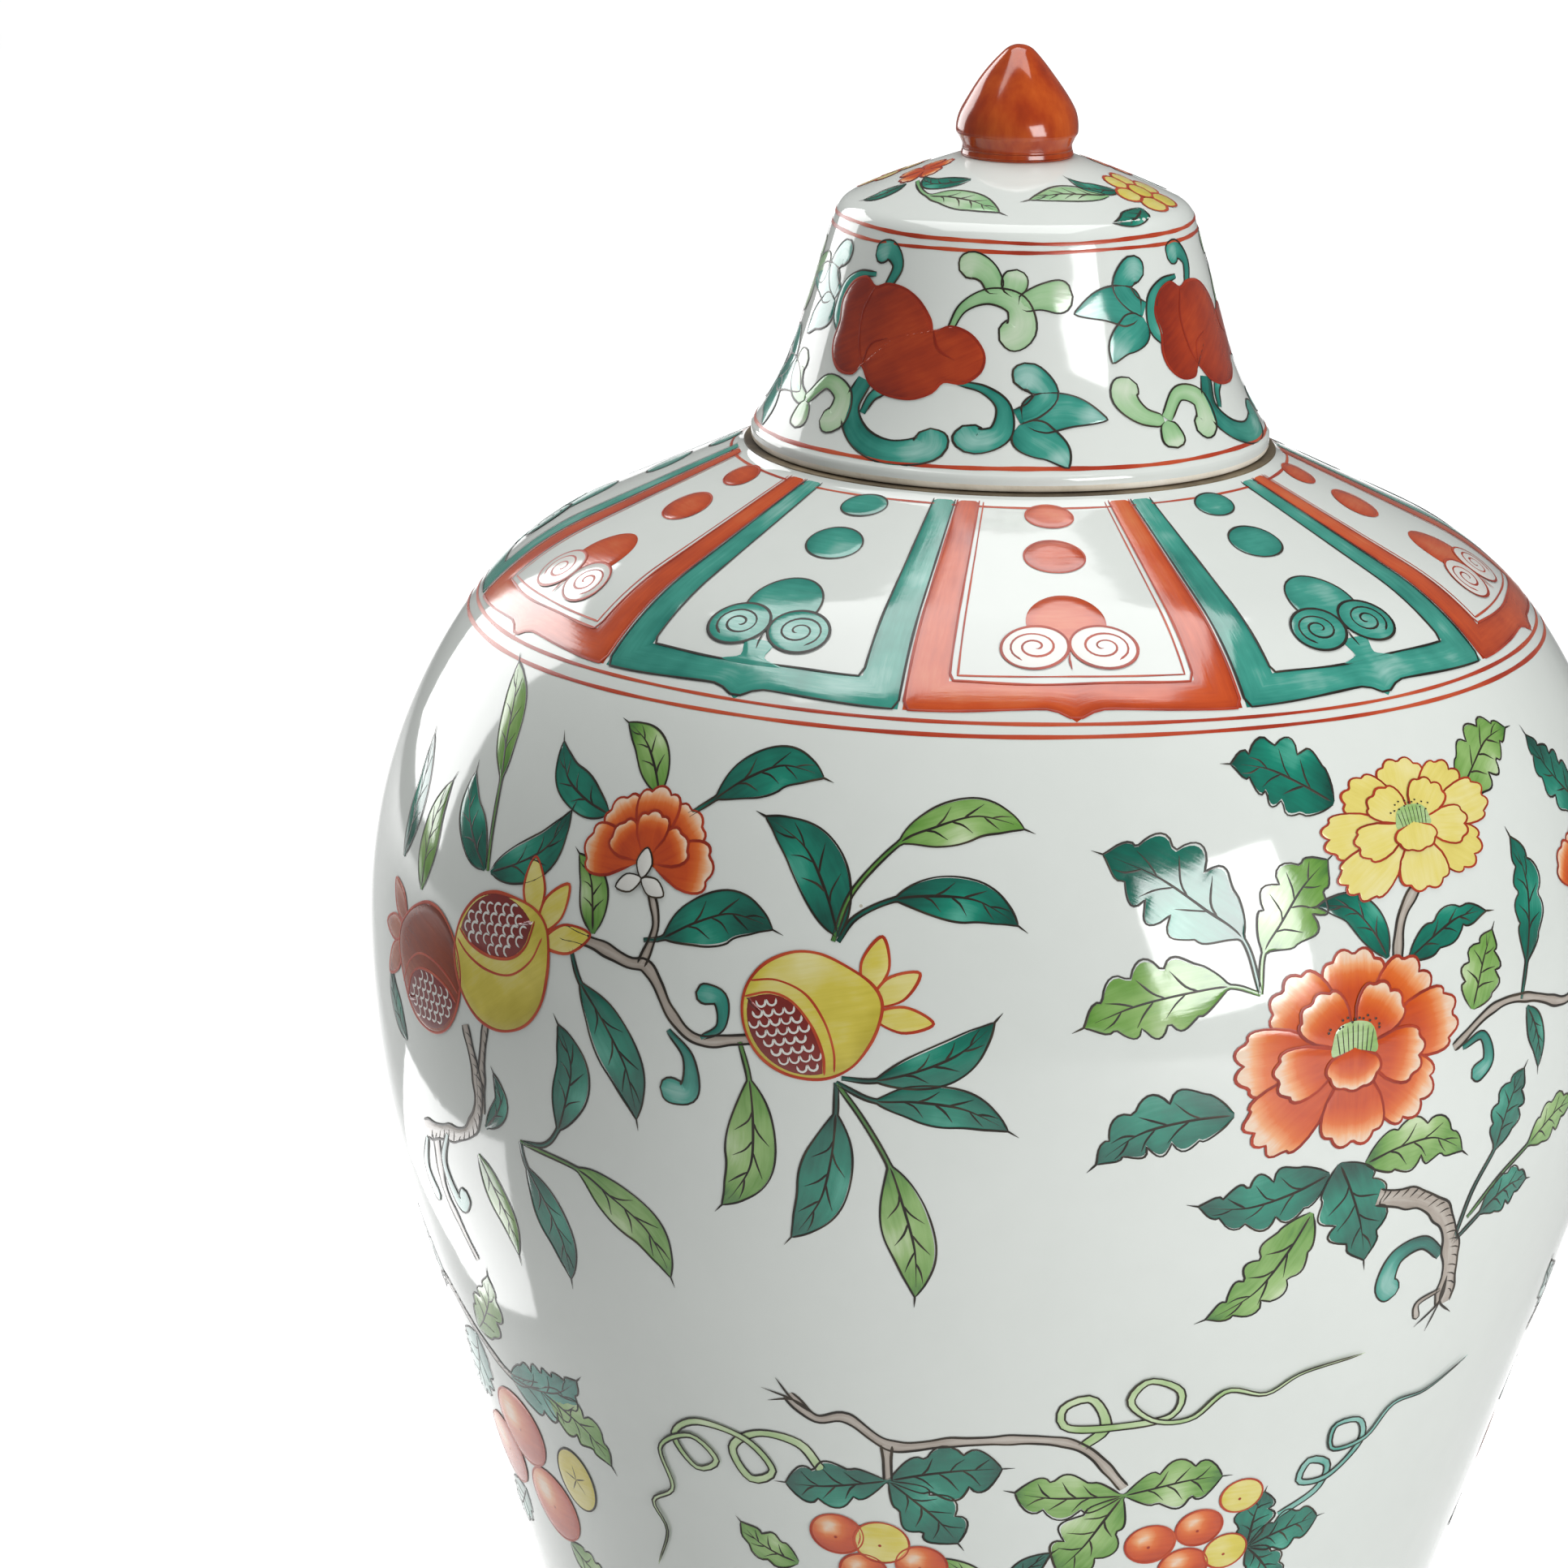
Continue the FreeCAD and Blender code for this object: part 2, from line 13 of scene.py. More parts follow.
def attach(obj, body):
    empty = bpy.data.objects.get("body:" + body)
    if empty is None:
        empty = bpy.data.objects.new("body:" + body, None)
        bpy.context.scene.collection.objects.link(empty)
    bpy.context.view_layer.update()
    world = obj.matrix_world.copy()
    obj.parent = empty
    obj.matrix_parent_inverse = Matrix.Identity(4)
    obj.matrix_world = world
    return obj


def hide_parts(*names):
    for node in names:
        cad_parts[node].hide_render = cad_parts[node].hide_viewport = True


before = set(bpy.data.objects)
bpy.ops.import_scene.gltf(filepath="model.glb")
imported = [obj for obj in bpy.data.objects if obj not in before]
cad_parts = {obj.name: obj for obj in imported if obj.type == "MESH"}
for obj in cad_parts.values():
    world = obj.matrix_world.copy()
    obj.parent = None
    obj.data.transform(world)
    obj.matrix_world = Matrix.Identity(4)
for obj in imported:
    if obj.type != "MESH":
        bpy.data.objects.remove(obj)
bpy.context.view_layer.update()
rng = np.random.default_rng(11)
MM = 0.001


# ---------------------------------------------------------------- turned outlines


def arc(centre, radius, first, last, step=0.4):
    """Points on an arc between two angles in degrees."""
    count = max(4, int(radius * math.radians(abs(last - first)) / step))
    angles = np.radians(np.linspace(first, last, count))
    return np.column_stack(
        [centre[0] + radius * np.cos(angles), centre[1] + radius * np.sin(angles)]
    )


def polar(centre, radius, degrees):
    """The point at a radius and an angle about a centre."""
    angle = math.radians(degrees)
    return (centre[0] + radius * math.cos(angle), centre[1] + radius * math.sin(angle))


def rounded(corners, step):
    """A path through (r, z, rounding) corners, each one eased by a curve that long on both sides."""
    points = np.array([c[:2] for c in corners], float)
    path = [points[0]]
    for i in range(1, len(points) - 1):
        ease = corners[i][2]
        here = points[i]
        into = here + (points[i - 1] - here) * ease / np.linalg.norm(points[i - 1] - here)
        away = here + (points[i + 1] - here) * ease / np.linalg.norm(points[i + 1] - here)
        for t in np.linspace(0, 1, 6) if ease else [0.5]:
            path.append((1 - t) ** 2 * into + 2 * t * (1 - t) * here + t * t * away)
    path.append(points[-1])
    return resample(np.array(path), step)


def resample(path, step):
    """The same path with no gap longer than the step, keeping every point it has."""
    out = [path[0]]
    for a, b in zip(path[:-1], path[1:]):
        gap = np.linalg.norm(b - a)
        if gap < 1e-4:
            continue
        count = max(1, math.ceil(gap / step))
        out.extend(a + (b - a) * i / count for i in range(1, count + 1))
    return np.array(out)


class Form:
    """A turned outline that can be drawn on, by an angle and a length along it from its lower end."""

    def __init__(self, outline, throwing):
        self.outline = outline
        self.throwing = throwing
        self.length = np.concatenate([[0], np.cumsum(np.hypot(*np.diff(outline, axis=0).T))])
        tangent = np.gradient(outline, self.length, axis=0)
        tangent /= np.linalg.norm(tangent, axis=1)[:, None]
        self.normal = np.column_stack([tangent[:, 1], -tangent[:, 0]])

    def read(self, column, length):
        return np.interp(length, self.length, column)

    def spread_at(self, length):
        """How many millimetres round the form one degree is, at a length along the outline."""
        return float(self.read(self.outline[:, 0], length)) * math.pi / 180

    def length_at(self, height):
        """How far along the outline a height is."""
        return float(np.interp(height, self.outline[:, 1], self.length))

    def place(self, angle, length, lift):
        """World points for angles in degrees, lengths along the outline and lifts off it."""
        angle = np.radians(angle)
        height = self.read(self.outline[:, 1], length)
        radius = self.read(self.outline[:, 0], length) + self.throwing(angle, height)
        radius = radius + lift * self.read(self.normal[:, 0], length)
        height = height + lift * self.read(self.normal[:, 1], length)
        return MM * np.stack(
            [radius * np.sin(angle), -radius * np.cos(angle), height], axis=-1
        )


LUTING_SEAM, RIDGE_WIDTH, RIDGE = 188.0, 8.0, 0.16
THROWN_HEIGHT = 350.0
LID_THROWN_FROM, LID_THROWN_TO = 364.0, 421.0


def jar_throwing(angle, height):
    """The slight unevenness of a thrown wall, and the low ridge where two sections were luted."""
    fade = np.sin(np.pi * np.clip(height / THROWN_HEIGHT, 0, 1))
    lean = 0.16 * np.sin(2 * angle + 0.5) + 0.10 * np.sin(3 * angle + height / 60)
    rings = 0.035 * np.sin(height / 5.5 + 0.7 * np.sin(angle))
    return fade * (lean + rings) + RIDGE * np.exp(-(((height - LUTING_SEAM) / RIDGE_WIDTH) ** 2))


def lid_throwing(angle, height):
    """The lid's own unevenness, none at its rim or under its finial."""
    fade = np.clip((height - LID_THROWN_FROM) / 12, 0, 1) * np.clip((LID_THROWN_TO - height) / 6, 0, 1)
    return fade * (0.10 * np.sin(2 * angle + 1.2) + 0.03 * np.sin(height / 3 + angle))


FOOT, FOOT_TOP, FLARE, WAIST_ARC = 75.0, 14.0, 8.0, 90.0
BELLY, BELLY_HEIGHT, LOWER_ARC = 135.0, 259.0, 200.0
UPPER_ARC, UPPER_TURN, SHOULDER_ARC, SLOPE = 115.0, 33.0, 65.0, 65.0
WALL, SEAT_RADIUS, SEAT_STEP, SEAT_THICKNESS = 5.5, 56.2, 0.8, 7.0
FLOOR, FLOOR_RADIUS, RECESS, FOOT_INSIDE = 14.0, 68.3, 7.0, 67.0
LID_HEIGHT, LID_WALL, LID_TOP, RIM, RIM_BAND = 61.0, 4.2, 5.6, 54.7, 3.4
SKIRT, RIM_FLARE, SKIRT_FOOT, CROWN_EDGE, CROWN_SAG, LANDING = 16.2, 35.0, 23.4, 50.9, 0.42, 12.3
COLLAR, MOUTH, COLLAR_HEIGHT = 38.57, 34.07, 24.0

lower_centre = (BELLY - LOWER_ARC, BELLY_HEIGHT)
upper_centre = (BELLY - UPPER_ARC, BELLY_HEIGHT)
shoulder_centre = polar(upper_centre, UPPER_ARC - SHOULDER_ARC, UPPER_TURN)
waist_centre = polar((FOOT, FOOT_TOP), WAIST_ARC, FLARE)
between = math.dist(lower_centre, waist_centre)
taper = math.degrees(
    math.atan2(waist_centre[1] - lower_centre[1], waist_centre[0] - lower_centre[0])
    + math.acos((LOWER_ARC + WAIST_ARC) / between)
)
shoulder_top = polar(shoulder_centre, SHOULDER_ARC, SLOPE)
step_foot = shoulder_top[1] + (shoulder_top[0] - SEAT_RADIUS) / math.tan(math.radians(SLOPE))
SEAT = step_foot + SEAT_STEP

jar_outside = resample(
    np.vstack(
        [
            [(FOOT, 1.5), (FOOT, FOOT_TOP)],
            arc(waist_centre, WAIST_ARC, 180 + FLARE, 180 + taper),
            arc(lower_centre, LOWER_ARC, taper, 0),
            arc(upper_centre, UPPER_ARC, 0, UPPER_TURN)[1:],
            arc(shoulder_centre, SHOULDER_ARC, UPPER_TURN, SLOPE)[1:],
            [(SEAT_RADIUS, step_foot)],
        ]
    ),
    0.5,
)
jar = Form(jar_outside, jar_throwing)

flare_arc = (SKIRT_FOOT - RIM_BAND) / (
    math.sin(math.radians(RIM_FLARE)) - math.sin(math.radians(SKIRT))
)
flare_reach = flare_arc * (math.cos(math.radians(SKIRT)) - math.cos(math.radians(RIM_FLARE)))
flare_centre = polar((RIM - flare_reach, SEAT + SKIRT_FOOT), flare_arc, SKIRT)
skirt_slope = math.tan(math.radians(SKIRT))
crown_edge = RIM - flare_reach - (CROWN_EDGE - SKIRT_FOOT) * skirt_slope
crown_shares = np.linspace(0, 1, 14)[12::-1]
crown_radii = LANDING + (crown_edge - LANDING) * crown_shares
crown_dome = 4 * CROWN_SAG * crown_shares * (1 - crown_shares)
crown_heights = LID_HEIGHT + (CROWN_EDGE - LID_HEIGHT) * crown_shares + crown_dome
lid_outside = rounded(
    [(RIM, SEAT, 0), (RIM, SEAT + RIM_BAND, 1.2)]
    + [(r, z, 0) for r, z in arc(flare_centre, flare_arc, 180 + RIM_FLARE, 180 + SKIRT)[2:]]
    + [(crown_edge, SEAT + CROWN_EDGE, 2.4)]
    + [(r, SEAT + h, 0) for r, h in zip(crown_radii, crown_heights)]
    + [(0, SEAT + LID_HEIGHT, 0)],
    0.5,
)
lid = Form(lid_outside, lid_throwing)

BUD_FOOT = [(0, 0, 0), (11.9, 0, 0.5), (11.7, 1.0, 0.6), (11.4, 2.2, 0.7), (12.2, 3.9, 0.8)]
BUD_RADIUS, BUD_HEIGHT = 12.85, 5.6
BUD_ARC, BUD_TURN = 10.0, 28.0
BUD_SIDE_ARC, BUD_TIP_TURN = 50.0, 44.5
bud_centre = (BUD_RADIUS - BUD_ARC, BUD_HEIGHT)
bud_side = arc(polar(bud_centre, BUD_ARC - BUD_SIDE_ARC, BUD_TURN), BUD_SIDE_ARC, BUD_TURN, BUD_TIP_TURN)
tip_round = bud_side[-1][0] / math.cos(math.radians(BUD_TIP_TURN))
tip_centre = (0, bud_side[-1][1] - tip_round * math.sin(math.radians(BUD_TIP_TURN)))
bud_tip = arc(tip_centre, tip_round, BUD_TIP_TURN, 90)
bud_above = np.vstack([arc(bud_centre, BUD_ARC, -4, BUD_TURN), bud_side[1:], bud_tip[1:]])
finial_outline = rounded(
    [(r, z + SEAT + LID_HEIGHT, e) for r, z, e in BUD_FOOT]
    + [(r, z + SEAT + LID_HEIGHT, 0) for r, z in bud_above],
    0.9,
)


# ---------------------------------------------------------------- materials


class Finish:
    """A node material. put() adds a node, sets its inputs and links those given as sockets."""

    def __init__(self, name, **surface):
        self.material = bpy.data.materials.new(name)
        self.material.use_nodes = True
        self.tree = self.material.node_tree
        self.shader = self.tree.nodes["Principled BSDF"]
        for socket, value in surface.items():
            self.feed(self.shader, socket.replace("_", " "), value)

    def feed(self, node, socket, value):
        """Link a socket to an input, or set the input to a value."""
        if isinstance(value, bpy.types.NodeSocket):
            self.tree.links.new(value, node.inputs[socket])
        else:
            node.inputs[socket].default_value = value

    def put(self, kind, settings=(), **inputs):
        node = self.tree.nodes.new("ShaderNode" + kind)
        for key, value in dict(settings).items():
            setattr(node, key, value)
        for socket, value in inputs.items():
            self.feed(node, int(socket[1:]) if socket[0] == "_" else socket, value)
        return node

    def noise(self, where, scale, detail=3.0, stretch=(1, 1, 1), rough=0.55):
        spread = self.put("Mapping", Scale=stretch, Vector=where)
        node = self.put("TexNoise", Vector=spread.outputs[0], Scale=scale, Detail=detail)
        node.inputs["Roughness"].default_value = rough
        return node.outputs["Fac"]

    def math(self, operation, a, b=0.0, c=0.0, clamp=False):
        node = self.put("Math", {"operation": operation, "use_clamp": clamp}, _0=a, _1=b, _2=c)
        return node.outputs[0]

    def ramp(self, factor, stops):
        node = self.put("ValToRGB", Fac=factor)
        ramp = node.color_ramp
        while len(ramp.elements) < len(stops):
            ramp.elements.new(0.5)
        for element, (place, colour) in zip(ramp.elements, stops):
            element.position = place
            element.color = (*colour, 1)
        return node.outputs[0]

    def bump(self, height, strength, distance):
        node = self.put("Bump", Height=height, Strength=strength, Distance=distance * MM)
        self.feed(self.shader, "Normal", node.outputs[0])

    def place(self):
        return self.put("TexCoord").outputs["Object"]

    def attribute(self, name, output):
        return self.put("Attribute", {"attribute_name": name}).outputs[output]


def glaze(name, pale, deep):
    """Clear glossy glaze on porcelain: faint cloudiness, orange peel, pinholes and a few iron specks."""
    f = Finish(name, IOR=1.58)
    where = f.place()
    cloud = f.noise(where, 9, 2)
    fine = f.noise(where, 120, 2)
    body = f.ramp(f.math("MULTIPLY_ADD", fine, 0.25, f.math("MULTIPLY", cloud, 0.8)),
                  [(0.3, deep), (0.75, pale)])
    specks = f.put("TexVoronoi", Vector=where, Scale=34.0).outputs["Distance"]
    spot = f.math("LESS_THAN", specks, 0.012)
    tint = f.put("MixRGB", Fac=f.math("MULTIPLY", spot, 0.55), Color1=body, Color2=(0.30, 0.22, 0.10, 1))
    f.feed(f.shader, "Base Color", tint.outputs[0])
    f.feed(f.shader, "Roughness", f.math("MULTIPLY_ADD", cloud, 0.05, 0.035))
    peel = f.math("ADD", f.noise(where, 160, 2), f.math("MULTIPLY", f.noise(where, 30, 2), 2.5))
    pits = f.put("TexVoronoi", Vector=where, Scale=90.0).outputs["Distance"]
    pit = f.math("MULTIPLY", f.math("LESS_THAN", pits, 0.03), -2.0)
    f.bump(f.math("ADD", peel, pit), 0.16, 0.10)
    return f.material


def biscuit(name, dark, middle, pale):
    """Bare fired porcelain: matt, toned by the kiln and by handling."""
    f = Finish(name)
    where = f.place()
    tone = f.noise(where, 45, 5)
    grain = f.noise(where, 900, 3)
    f.feed(f.shader, "Base Color", f.ramp(tone, [(0.30, dark), (0.5, middle), (0.7, pale)]))
    f.feed(f.shader, "Roughness", f.math("MULTIPLY_ADD", grain, 0.25, 0.6))
    f.bump(f.math("ADD", grain, f.math("MULTIPLY", tone, 2.0)), 0.5, 0.15)
    return f.material


def enamel(name, stops, streaks=0.35, gloss=0.12, wash=0.3, index=1.80):
    """Overglaze colour: the wash pools and thins with its tone, and the brush leaves long streaks."""
    f = Finish(name, IOR=index)
    brush = f.attribute("brush", "Vector")
    tone = f.attribute("tone", "Fac")
    streak = f.noise(brush, 1.0, 4, (0.10, 0.9, 1), 0.6)
    pool = f.noise(f.place(), 95, 2)
    shift = f.math("MULTIPLY_ADD", f.math("SUBTRACT", streak, 0.5), streaks * 2, tone)
    shift = f.math("MULTIPLY_ADD", f.math("SUBTRACT", pool, 0.5), wash * 2, shift, clamp=True)
    f.feed(f.shader, "Base Color", f.ramp(shift, stops))
    f.feed(f.shader, "Roughness", f.math("MULTIPLY_ADD", streak, 0.14, gloss))
    bubbles = f.noise(f.place(), 700, 2)
    swell = f.math("ADD", streak, f.math("MULTIPLY", pool, 0.6))
    f.bump(f.math("MULTIPLY_ADD", bubbles, 0.35, swell), 0.20, 0.10)
    return f.material


glaze_white = glaze("glaze", (0.70, 0.735, 0.70), (0.655, 0.69, 0.655))
bare = biscuit("biscuit", (0.42, 0.33, 0.22), (0.66, 0.58, 0.44), (0.76, 0.71, 0.60))
lid_ground = biscuit("lid_ground_biscuit", (0.56, 0.48, 0.36), (0.76, 0.70, 0.58), (0.86, 0.82, 0.73))
# painted shadow: a near-black biscuit for the shadow in the gap where the lid sits on the jar's seat
gap_shadow = biscuit("gap_shadow_biscuit", (0.05, 0.035, 0.02), (0.12, 0.09, 0.05), (0.26, 0.20, 0.12))
FINISHES = {
    "iron_red": enamel("iron_red_enamel", [(0.0, (0.66, 0.19, 0.06)), (0.4, (0.56, 0.075, 0.010)),
                                           (0.75, (0.36, 0.032, 0.003)), (1.0, (0.22, 0.014, 0.002))],
                       0.22, gloss=0.07),
    "red_line": enamel("red_line_enamel", [(0.0, (0.58, 0.11, 0.04)), (0.6, (0.40, 0.040, 0.012)),
                                           (1.0, (0.24, 0.018, 0.006))], 0.3, gloss=0.22, index=1.5),
    "seed_red": enamel("seed_red_enamel", [(0.0, (0.24, 0.016, 0.010)), (1.0, (0.10, 0.004, 0.003))], 0.3),
    "plum_red": enamel("plum_red_enamel", [(0.0, (0.50, 0.15, 0.05)), (0.5, (0.27, 0.042, 0.006)),
                                           (1.0, (0.13, 0.016, 0.003))], 0.25, gloss=0.08),
    "petal_red": enamel("petal_red_enamel", [(0.0, (0.78, 0.60, 0.45)), (0.22, (0.78, 0.34, 0.14)),
                                             (0.5, (0.68, 0.14, 0.018)), (0.8, (0.57, 0.070, 0.003)),
                                             (1.0, (0.42, 0.036, 0.002))], 0.16, gloss=0.10, wash=0.15),
    "deep_green": enamel("deep_green_enamel", [(0.0, (0.08, 0.38, 0.28)), (0.35, (0.004, 0.22, 0.145)),
                                               (0.75, (0.001, 0.115, 0.078)), (1.0, (0.0005, 0.055, 0.038))],
                         0.22, gloss=0.04, wash=0.45),
    "leaf_green": enamel("leaf_green_enamel", [(0.0, (0.56, 0.68, 0.42)), (0.4, (0.28, 0.46, 0.15)),
                                               (0.8, (0.13, 0.30, 0.05)), (1.0, (0.05, 0.16, 0.03))],
                         0.22, gloss=0.04, wash=0.45),
    "mint": enamel("mint_enamel", [(0.0, (0.60, 0.70, 0.54)), (0.5, (0.34, 0.55, 0.30)),
                                   (1.0, (0.14, 0.36, 0.13))], 0.22, gloss=0.04, wash=0.45),
    "teal": enamel("teal_enamel", [(0.0, (0.32, 0.56, 0.50)), (0.4, (0.045, 0.31, 0.24)),
                                   (0.8, (0.006, 0.17, 0.13)), (1.0, (0.002, 0.08, 0.06))],
                   0.22, gloss=0.04, wash=0.45),
    "yellow": enamel("yellow_enamel", [(0.0, (0.76, 0.71, 0.36)), (0.5, (0.64, 0.54, 0.075)),
                                       (1.0, (0.42, 0.34, 0.02))], 0.22, gloss=0.06, wash=0.45),
    "straw": enamel("straw_enamel", [(0.0, (0.80, 0.75, 0.46)), (0.5, (0.72, 0.62, 0.17)),
                                     (1.0, (0.56, 0.44, 0.05))], 0.2, gloss=0.06, wash=0.35),
    "bark": enamel("bark_enamel", [(0.0, (0.58, 0.54, 0.48)), (0.5, (0.38, 0.33, 0.28)),
                                   (1.0, (0.20, 0.16, 0.12))], 0.35, gloss=0.12),
    "ink": enamel("ink_enamel", [(0.0, (0.075, 0.055, 0.032)), (0.5, (0.024, 0.018, 0.012)),
                                 (1.0, (0.008, 0.007, 0.005))], 0.4, gloss=0.3, index=1.45),
    "reserve": enamel("reserve_white", [(0.0, (0.74, 0.74, 0.70)), (1.0, (0.66, 0.66, 0.61))],
                      0.15, gloss=0.04),
}


# ---------------------------------------------------------------- meshes


def shade(mesh):
    mesh.polygons.foreach_set("use_smooth", [True] * len(mesh.polygons))
    mesh.validate()
    mesh.update()


def lathe(name, outline, segments, throwing, finishes, slot_at):
    """A closed turned wall from an outline that begins and ends on the axis, its finish picked by (r, z)."""
    rings = outline[1:-1]
    angles = np.arange(segments) * 2 * np.pi / segments
    radius = rings[:, :1] + throwing(angles[None, :], rings[:, 1:])
    points = np.stack(
        [radius * np.sin(angles), -radius * np.cos(angles), np.repeat(rings[:, 1:], segments, 1)], -1
    )
    ends = [(0, 0, outline[0][1]), (0, 0, outline[-1][1])]
    points = np.vstack([points.reshape(-1, 3), ends]) * MM
    count = len(rings)
    here = np.arange(segments)
    after = (here + 1) % segments
    low = np.arange(count - 1)[:, None] * segments
    quads = np.stack([low + here, low + after, low + segments + after, low + segments + here], -1)
    first, last = count * segments, count * segments + 1
    top = (count - 1) * segments
    faces = [*quads.reshape(-1, 4).tolist()]
    faces += [(first, int(b), int(a)) for a, b in zip(here, after)]
    faces += [(last, int(top + a), int(top + b)) for a, b in zip(here, after)]
    mesh = bpy.data.meshes.new(name)
    mesh.from_pydata(points.tolist(), [], faces)
    for finish in finishes:
        mesh.materials.append(finish)
    middle = (rings[:-1] + rings[1:]) / 2
    marks = np.repeat([slot_at(r, z) for r, z in middle], segments).tolist()
    mesh.polygons.foreach_set("material_index", marks + [0] * (2 * segments))
    shade(mesh)
    thing = bpy.data.objects.new(name, mesh)
    bpy.context.collection.objects.link(thing)
    return thing


class Paint:
    """One enamel on one body. Every stroke laid in it joins one thin mesh."""

    def __init__(self, name, body, finish):
        self.name, self.body, self.finish = name, body, finish
        self.points, self.faces, self.tones, self.grain = [], [], [], []
        self.count = 0

    def lay(self, points, faces, tones, grain):
        self.points.append(points.reshape(-1, 3))
        self.faces.append([tuple(int(i) + self.count for i in face) for face in faces])
        self.tones.append(np.asarray(tones, float).reshape(-1))
        self.grain.append(np.asarray(grain, float).reshape(-1, 2))
        self.count += len(self.points[-1])

    def finish_mesh(self):
        mesh = bpy.data.meshes.new(self.name)
        mesh.from_pydata(np.vstack(self.points).tolist(), [], sum(self.faces, []))
        tones = mesh.attributes.new("tone", "FLOAT", "POINT")
        tones.data.foreach_set("value", np.concatenate(self.tones).astype(np.float32))
        grain = np.vstack(self.grain)
        grain = np.column_stack([grain, np.zeros(len(grain))]).astype(np.float32)
        brush = mesh.attributes.new("brush", "FLOAT_VECTOR", "POINT")
        brush.data.foreach_set("vector", grain.reshape(-1))
        mesh.materials.append(self.finish)
        mesh.polygons.foreach_set("use_smooth", [True] * len(mesh.polygons))
        mesh.update()
        thing = bpy.data.objects.new(self.name, mesh)
        bpy.context.collection.objects.link(thing)
        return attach(thing, self.body)


paints = {}


def paint(body, colour):
    """The bucket for a colour on a body, made when it's first asked for."""
    key = f"{body}_{colour}"
    if key not in paints:
        paints[key] = Paint(key, body, FINISHES[colour])
    return paints[key]


# ---------------------------------------------------------------- drawing on a form


class Sheet:
    """Drawing paper wrapped on a form. x runs round the form and y up its outline."""

    def __init__(self, form, body, angle, start, spread):
        self.form, self.body, self.angle, self.start, self.spread = form, body, angle, start, spread
        self.origin, self.matrix = np.zeros(2), np.eye(2)

    def sub(self, x, y, turn=0.0, scale=1.0, mirror=False, stretch=1.0):
        """A smaller paper on this one, turned in degrees, scaled, widened and perhaps mirrored."""
        child = Sheet(self.form, self.body, self.angle, self.start, self.spread)
        c, s = math.cos(math.radians(turn)), math.sin(math.radians(turn))
        own = np.array([[c, -s], [s, c]]) @ np.diag([scale * stretch * (-1 if mirror else 1), scale])
        child.origin = self.origin + self.matrix @ np.array([x, y], float)
        child.matrix = self.matrix @ own
        return child

    def place(self, points, lift):
        flat = points @ self.matrix.T + self.origin
        return self.form.place(
            self.angle + flat[..., 0] / self.spread, self.start + flat[..., 1], lift
        )


BASE_LIFT = 0.03
LAYER = 0.09
STEP = 0.8


def smooth(points, closed=False, step=STEP):
    """A curve through the points, Catmull-Rom, sampled about every step."""
    p = np.asarray(points, float)
    n = len(p)
    out = []
    for i in range(n if closed else n - 1):
        if closed:
            a, b, c, d = (p[(i + k) % n] for k in (-1, 0, 1, 2))
        else:
            b, c = p[i], p[i + 1]
            a = p[i - 1] if i else 2 * b - c
            d = p[i + 2] if i + 2 < n else 2 * c - b
        count = max(2, int(np.linalg.norm(c - b) / step))
        for t in np.arange(count) / count:
            out.append(
                0.5
                * (
                    2 * b
                    + (c - a) * t
                    + (2 * a - 5 * b + 4 * c - d) * t * t
                    + (3 * b - a - 3 * c + d) * t**3
                )
            )
    if not closed:
        out.append(p[-1])
    return np.array(out)


def normals(path):
    """The left-hand normal at each point of a path."""
    tangent = np.gradient(path, axis=0)
    tangent /= np.linalg.norm(tangent, axis=1)[:, None] + 1e-12
    return np.column_stack([-tangent[:, 1], tangent[:, 0]])


def along(path):
    """How far along a path each of its points is."""
    return np.concatenate([[0], np.cumsum(np.linalg.norm(np.diff(path, axis=0), axis=1))])


def grid_faces(rows, columns):
    """The quads between the points of a grid, which are numbered row by row."""
    corner = (np.arange(rows - 1)[:, None] * columns + np.arange(columns - 1)).reshape(-1)
    return np.column_stack([corner, corner + 1, corner + columns + 1, corner + columns])


def ribbon(sheet, colour, path, left, right, layer=0.0, tone=0.5, columns=3, relief=0.05, climb=0.0):
    """A band of enamel along a path, with its own half width on each side, domed across."""
    rows = len(path)
    across = np.linspace(-1, 1, columns)
    side = normals(path)
    width = np.where(across[None, :] < 0, -np.asarray(left)[:, None], np.asarray(right)[:, None])
    offset = np.abs(across)[None, :] * width
    points = path[:, None, :] - side[:, None, :] * offset[..., None]
    length = along(path)
    rise = climb * length / max(length[-1], 1e-6)
    lift = BASE_LIFT + LAYER * layer + rise[:, None] + relief * (1 - across[None, :] ** 4)
    tones = tone(length[:, None] / length[-1], across[None, :]) if callable(tone) else tone
    tones = np.broadcast_to(tones, (rows, columns))
    grain = np.stack([np.broadcast_to(length[:, None], offset.shape), offset], -1)
    grain = grain + rng.uniform(0, 400, 2)
    faces = grid_faces(rows, columns)[:, ::-1]
    paint(sheet.body, colour).lay(sheet.place(points, lift), faces, tones, grain)


def waver(length, amount):
    """A hand's slow unsteadiness along a stroke, as a factor near 1."""
    a, b = rng.uniform(0, 2 * np.pi, 2)
    return 1 + amount * (np.sin(length / 4.3 + a) + 0.6 * np.sin(length / 1.9 + b))


def stroke(sheet, colour, points, width=0.5, layer=1.0, fade=(1.5, 3.0), closed=False, tone=0.5,
           curved=True, climb=0.0):
    """A line drawn with a pointed brush: thin at the ends, uneven between them."""
    path = smooth(points, closed) if curved else resample(np.asarray(points, float), STEP)
    if closed:
        path = np.vstack([path, path[:1]])
    length = along(path)
    total = length[-1]
    half = width / 2 * waver(length, 0.13)
    if not closed:
        enter = np.clip(length / max(fade[0], 1e-3), 0.18, 1)
        leave = np.clip((total - length) / max(fade[1], 1e-3), 0.08, 1)
        half = half * np.minimum(enter, leave) ** 0.8
    tones = tone + 0.25 * (waver(length, 0.5) - 1)
    ribbon(sheet, colour, path, half, half, layer, tones[:, None], 3, 0.035, climb)


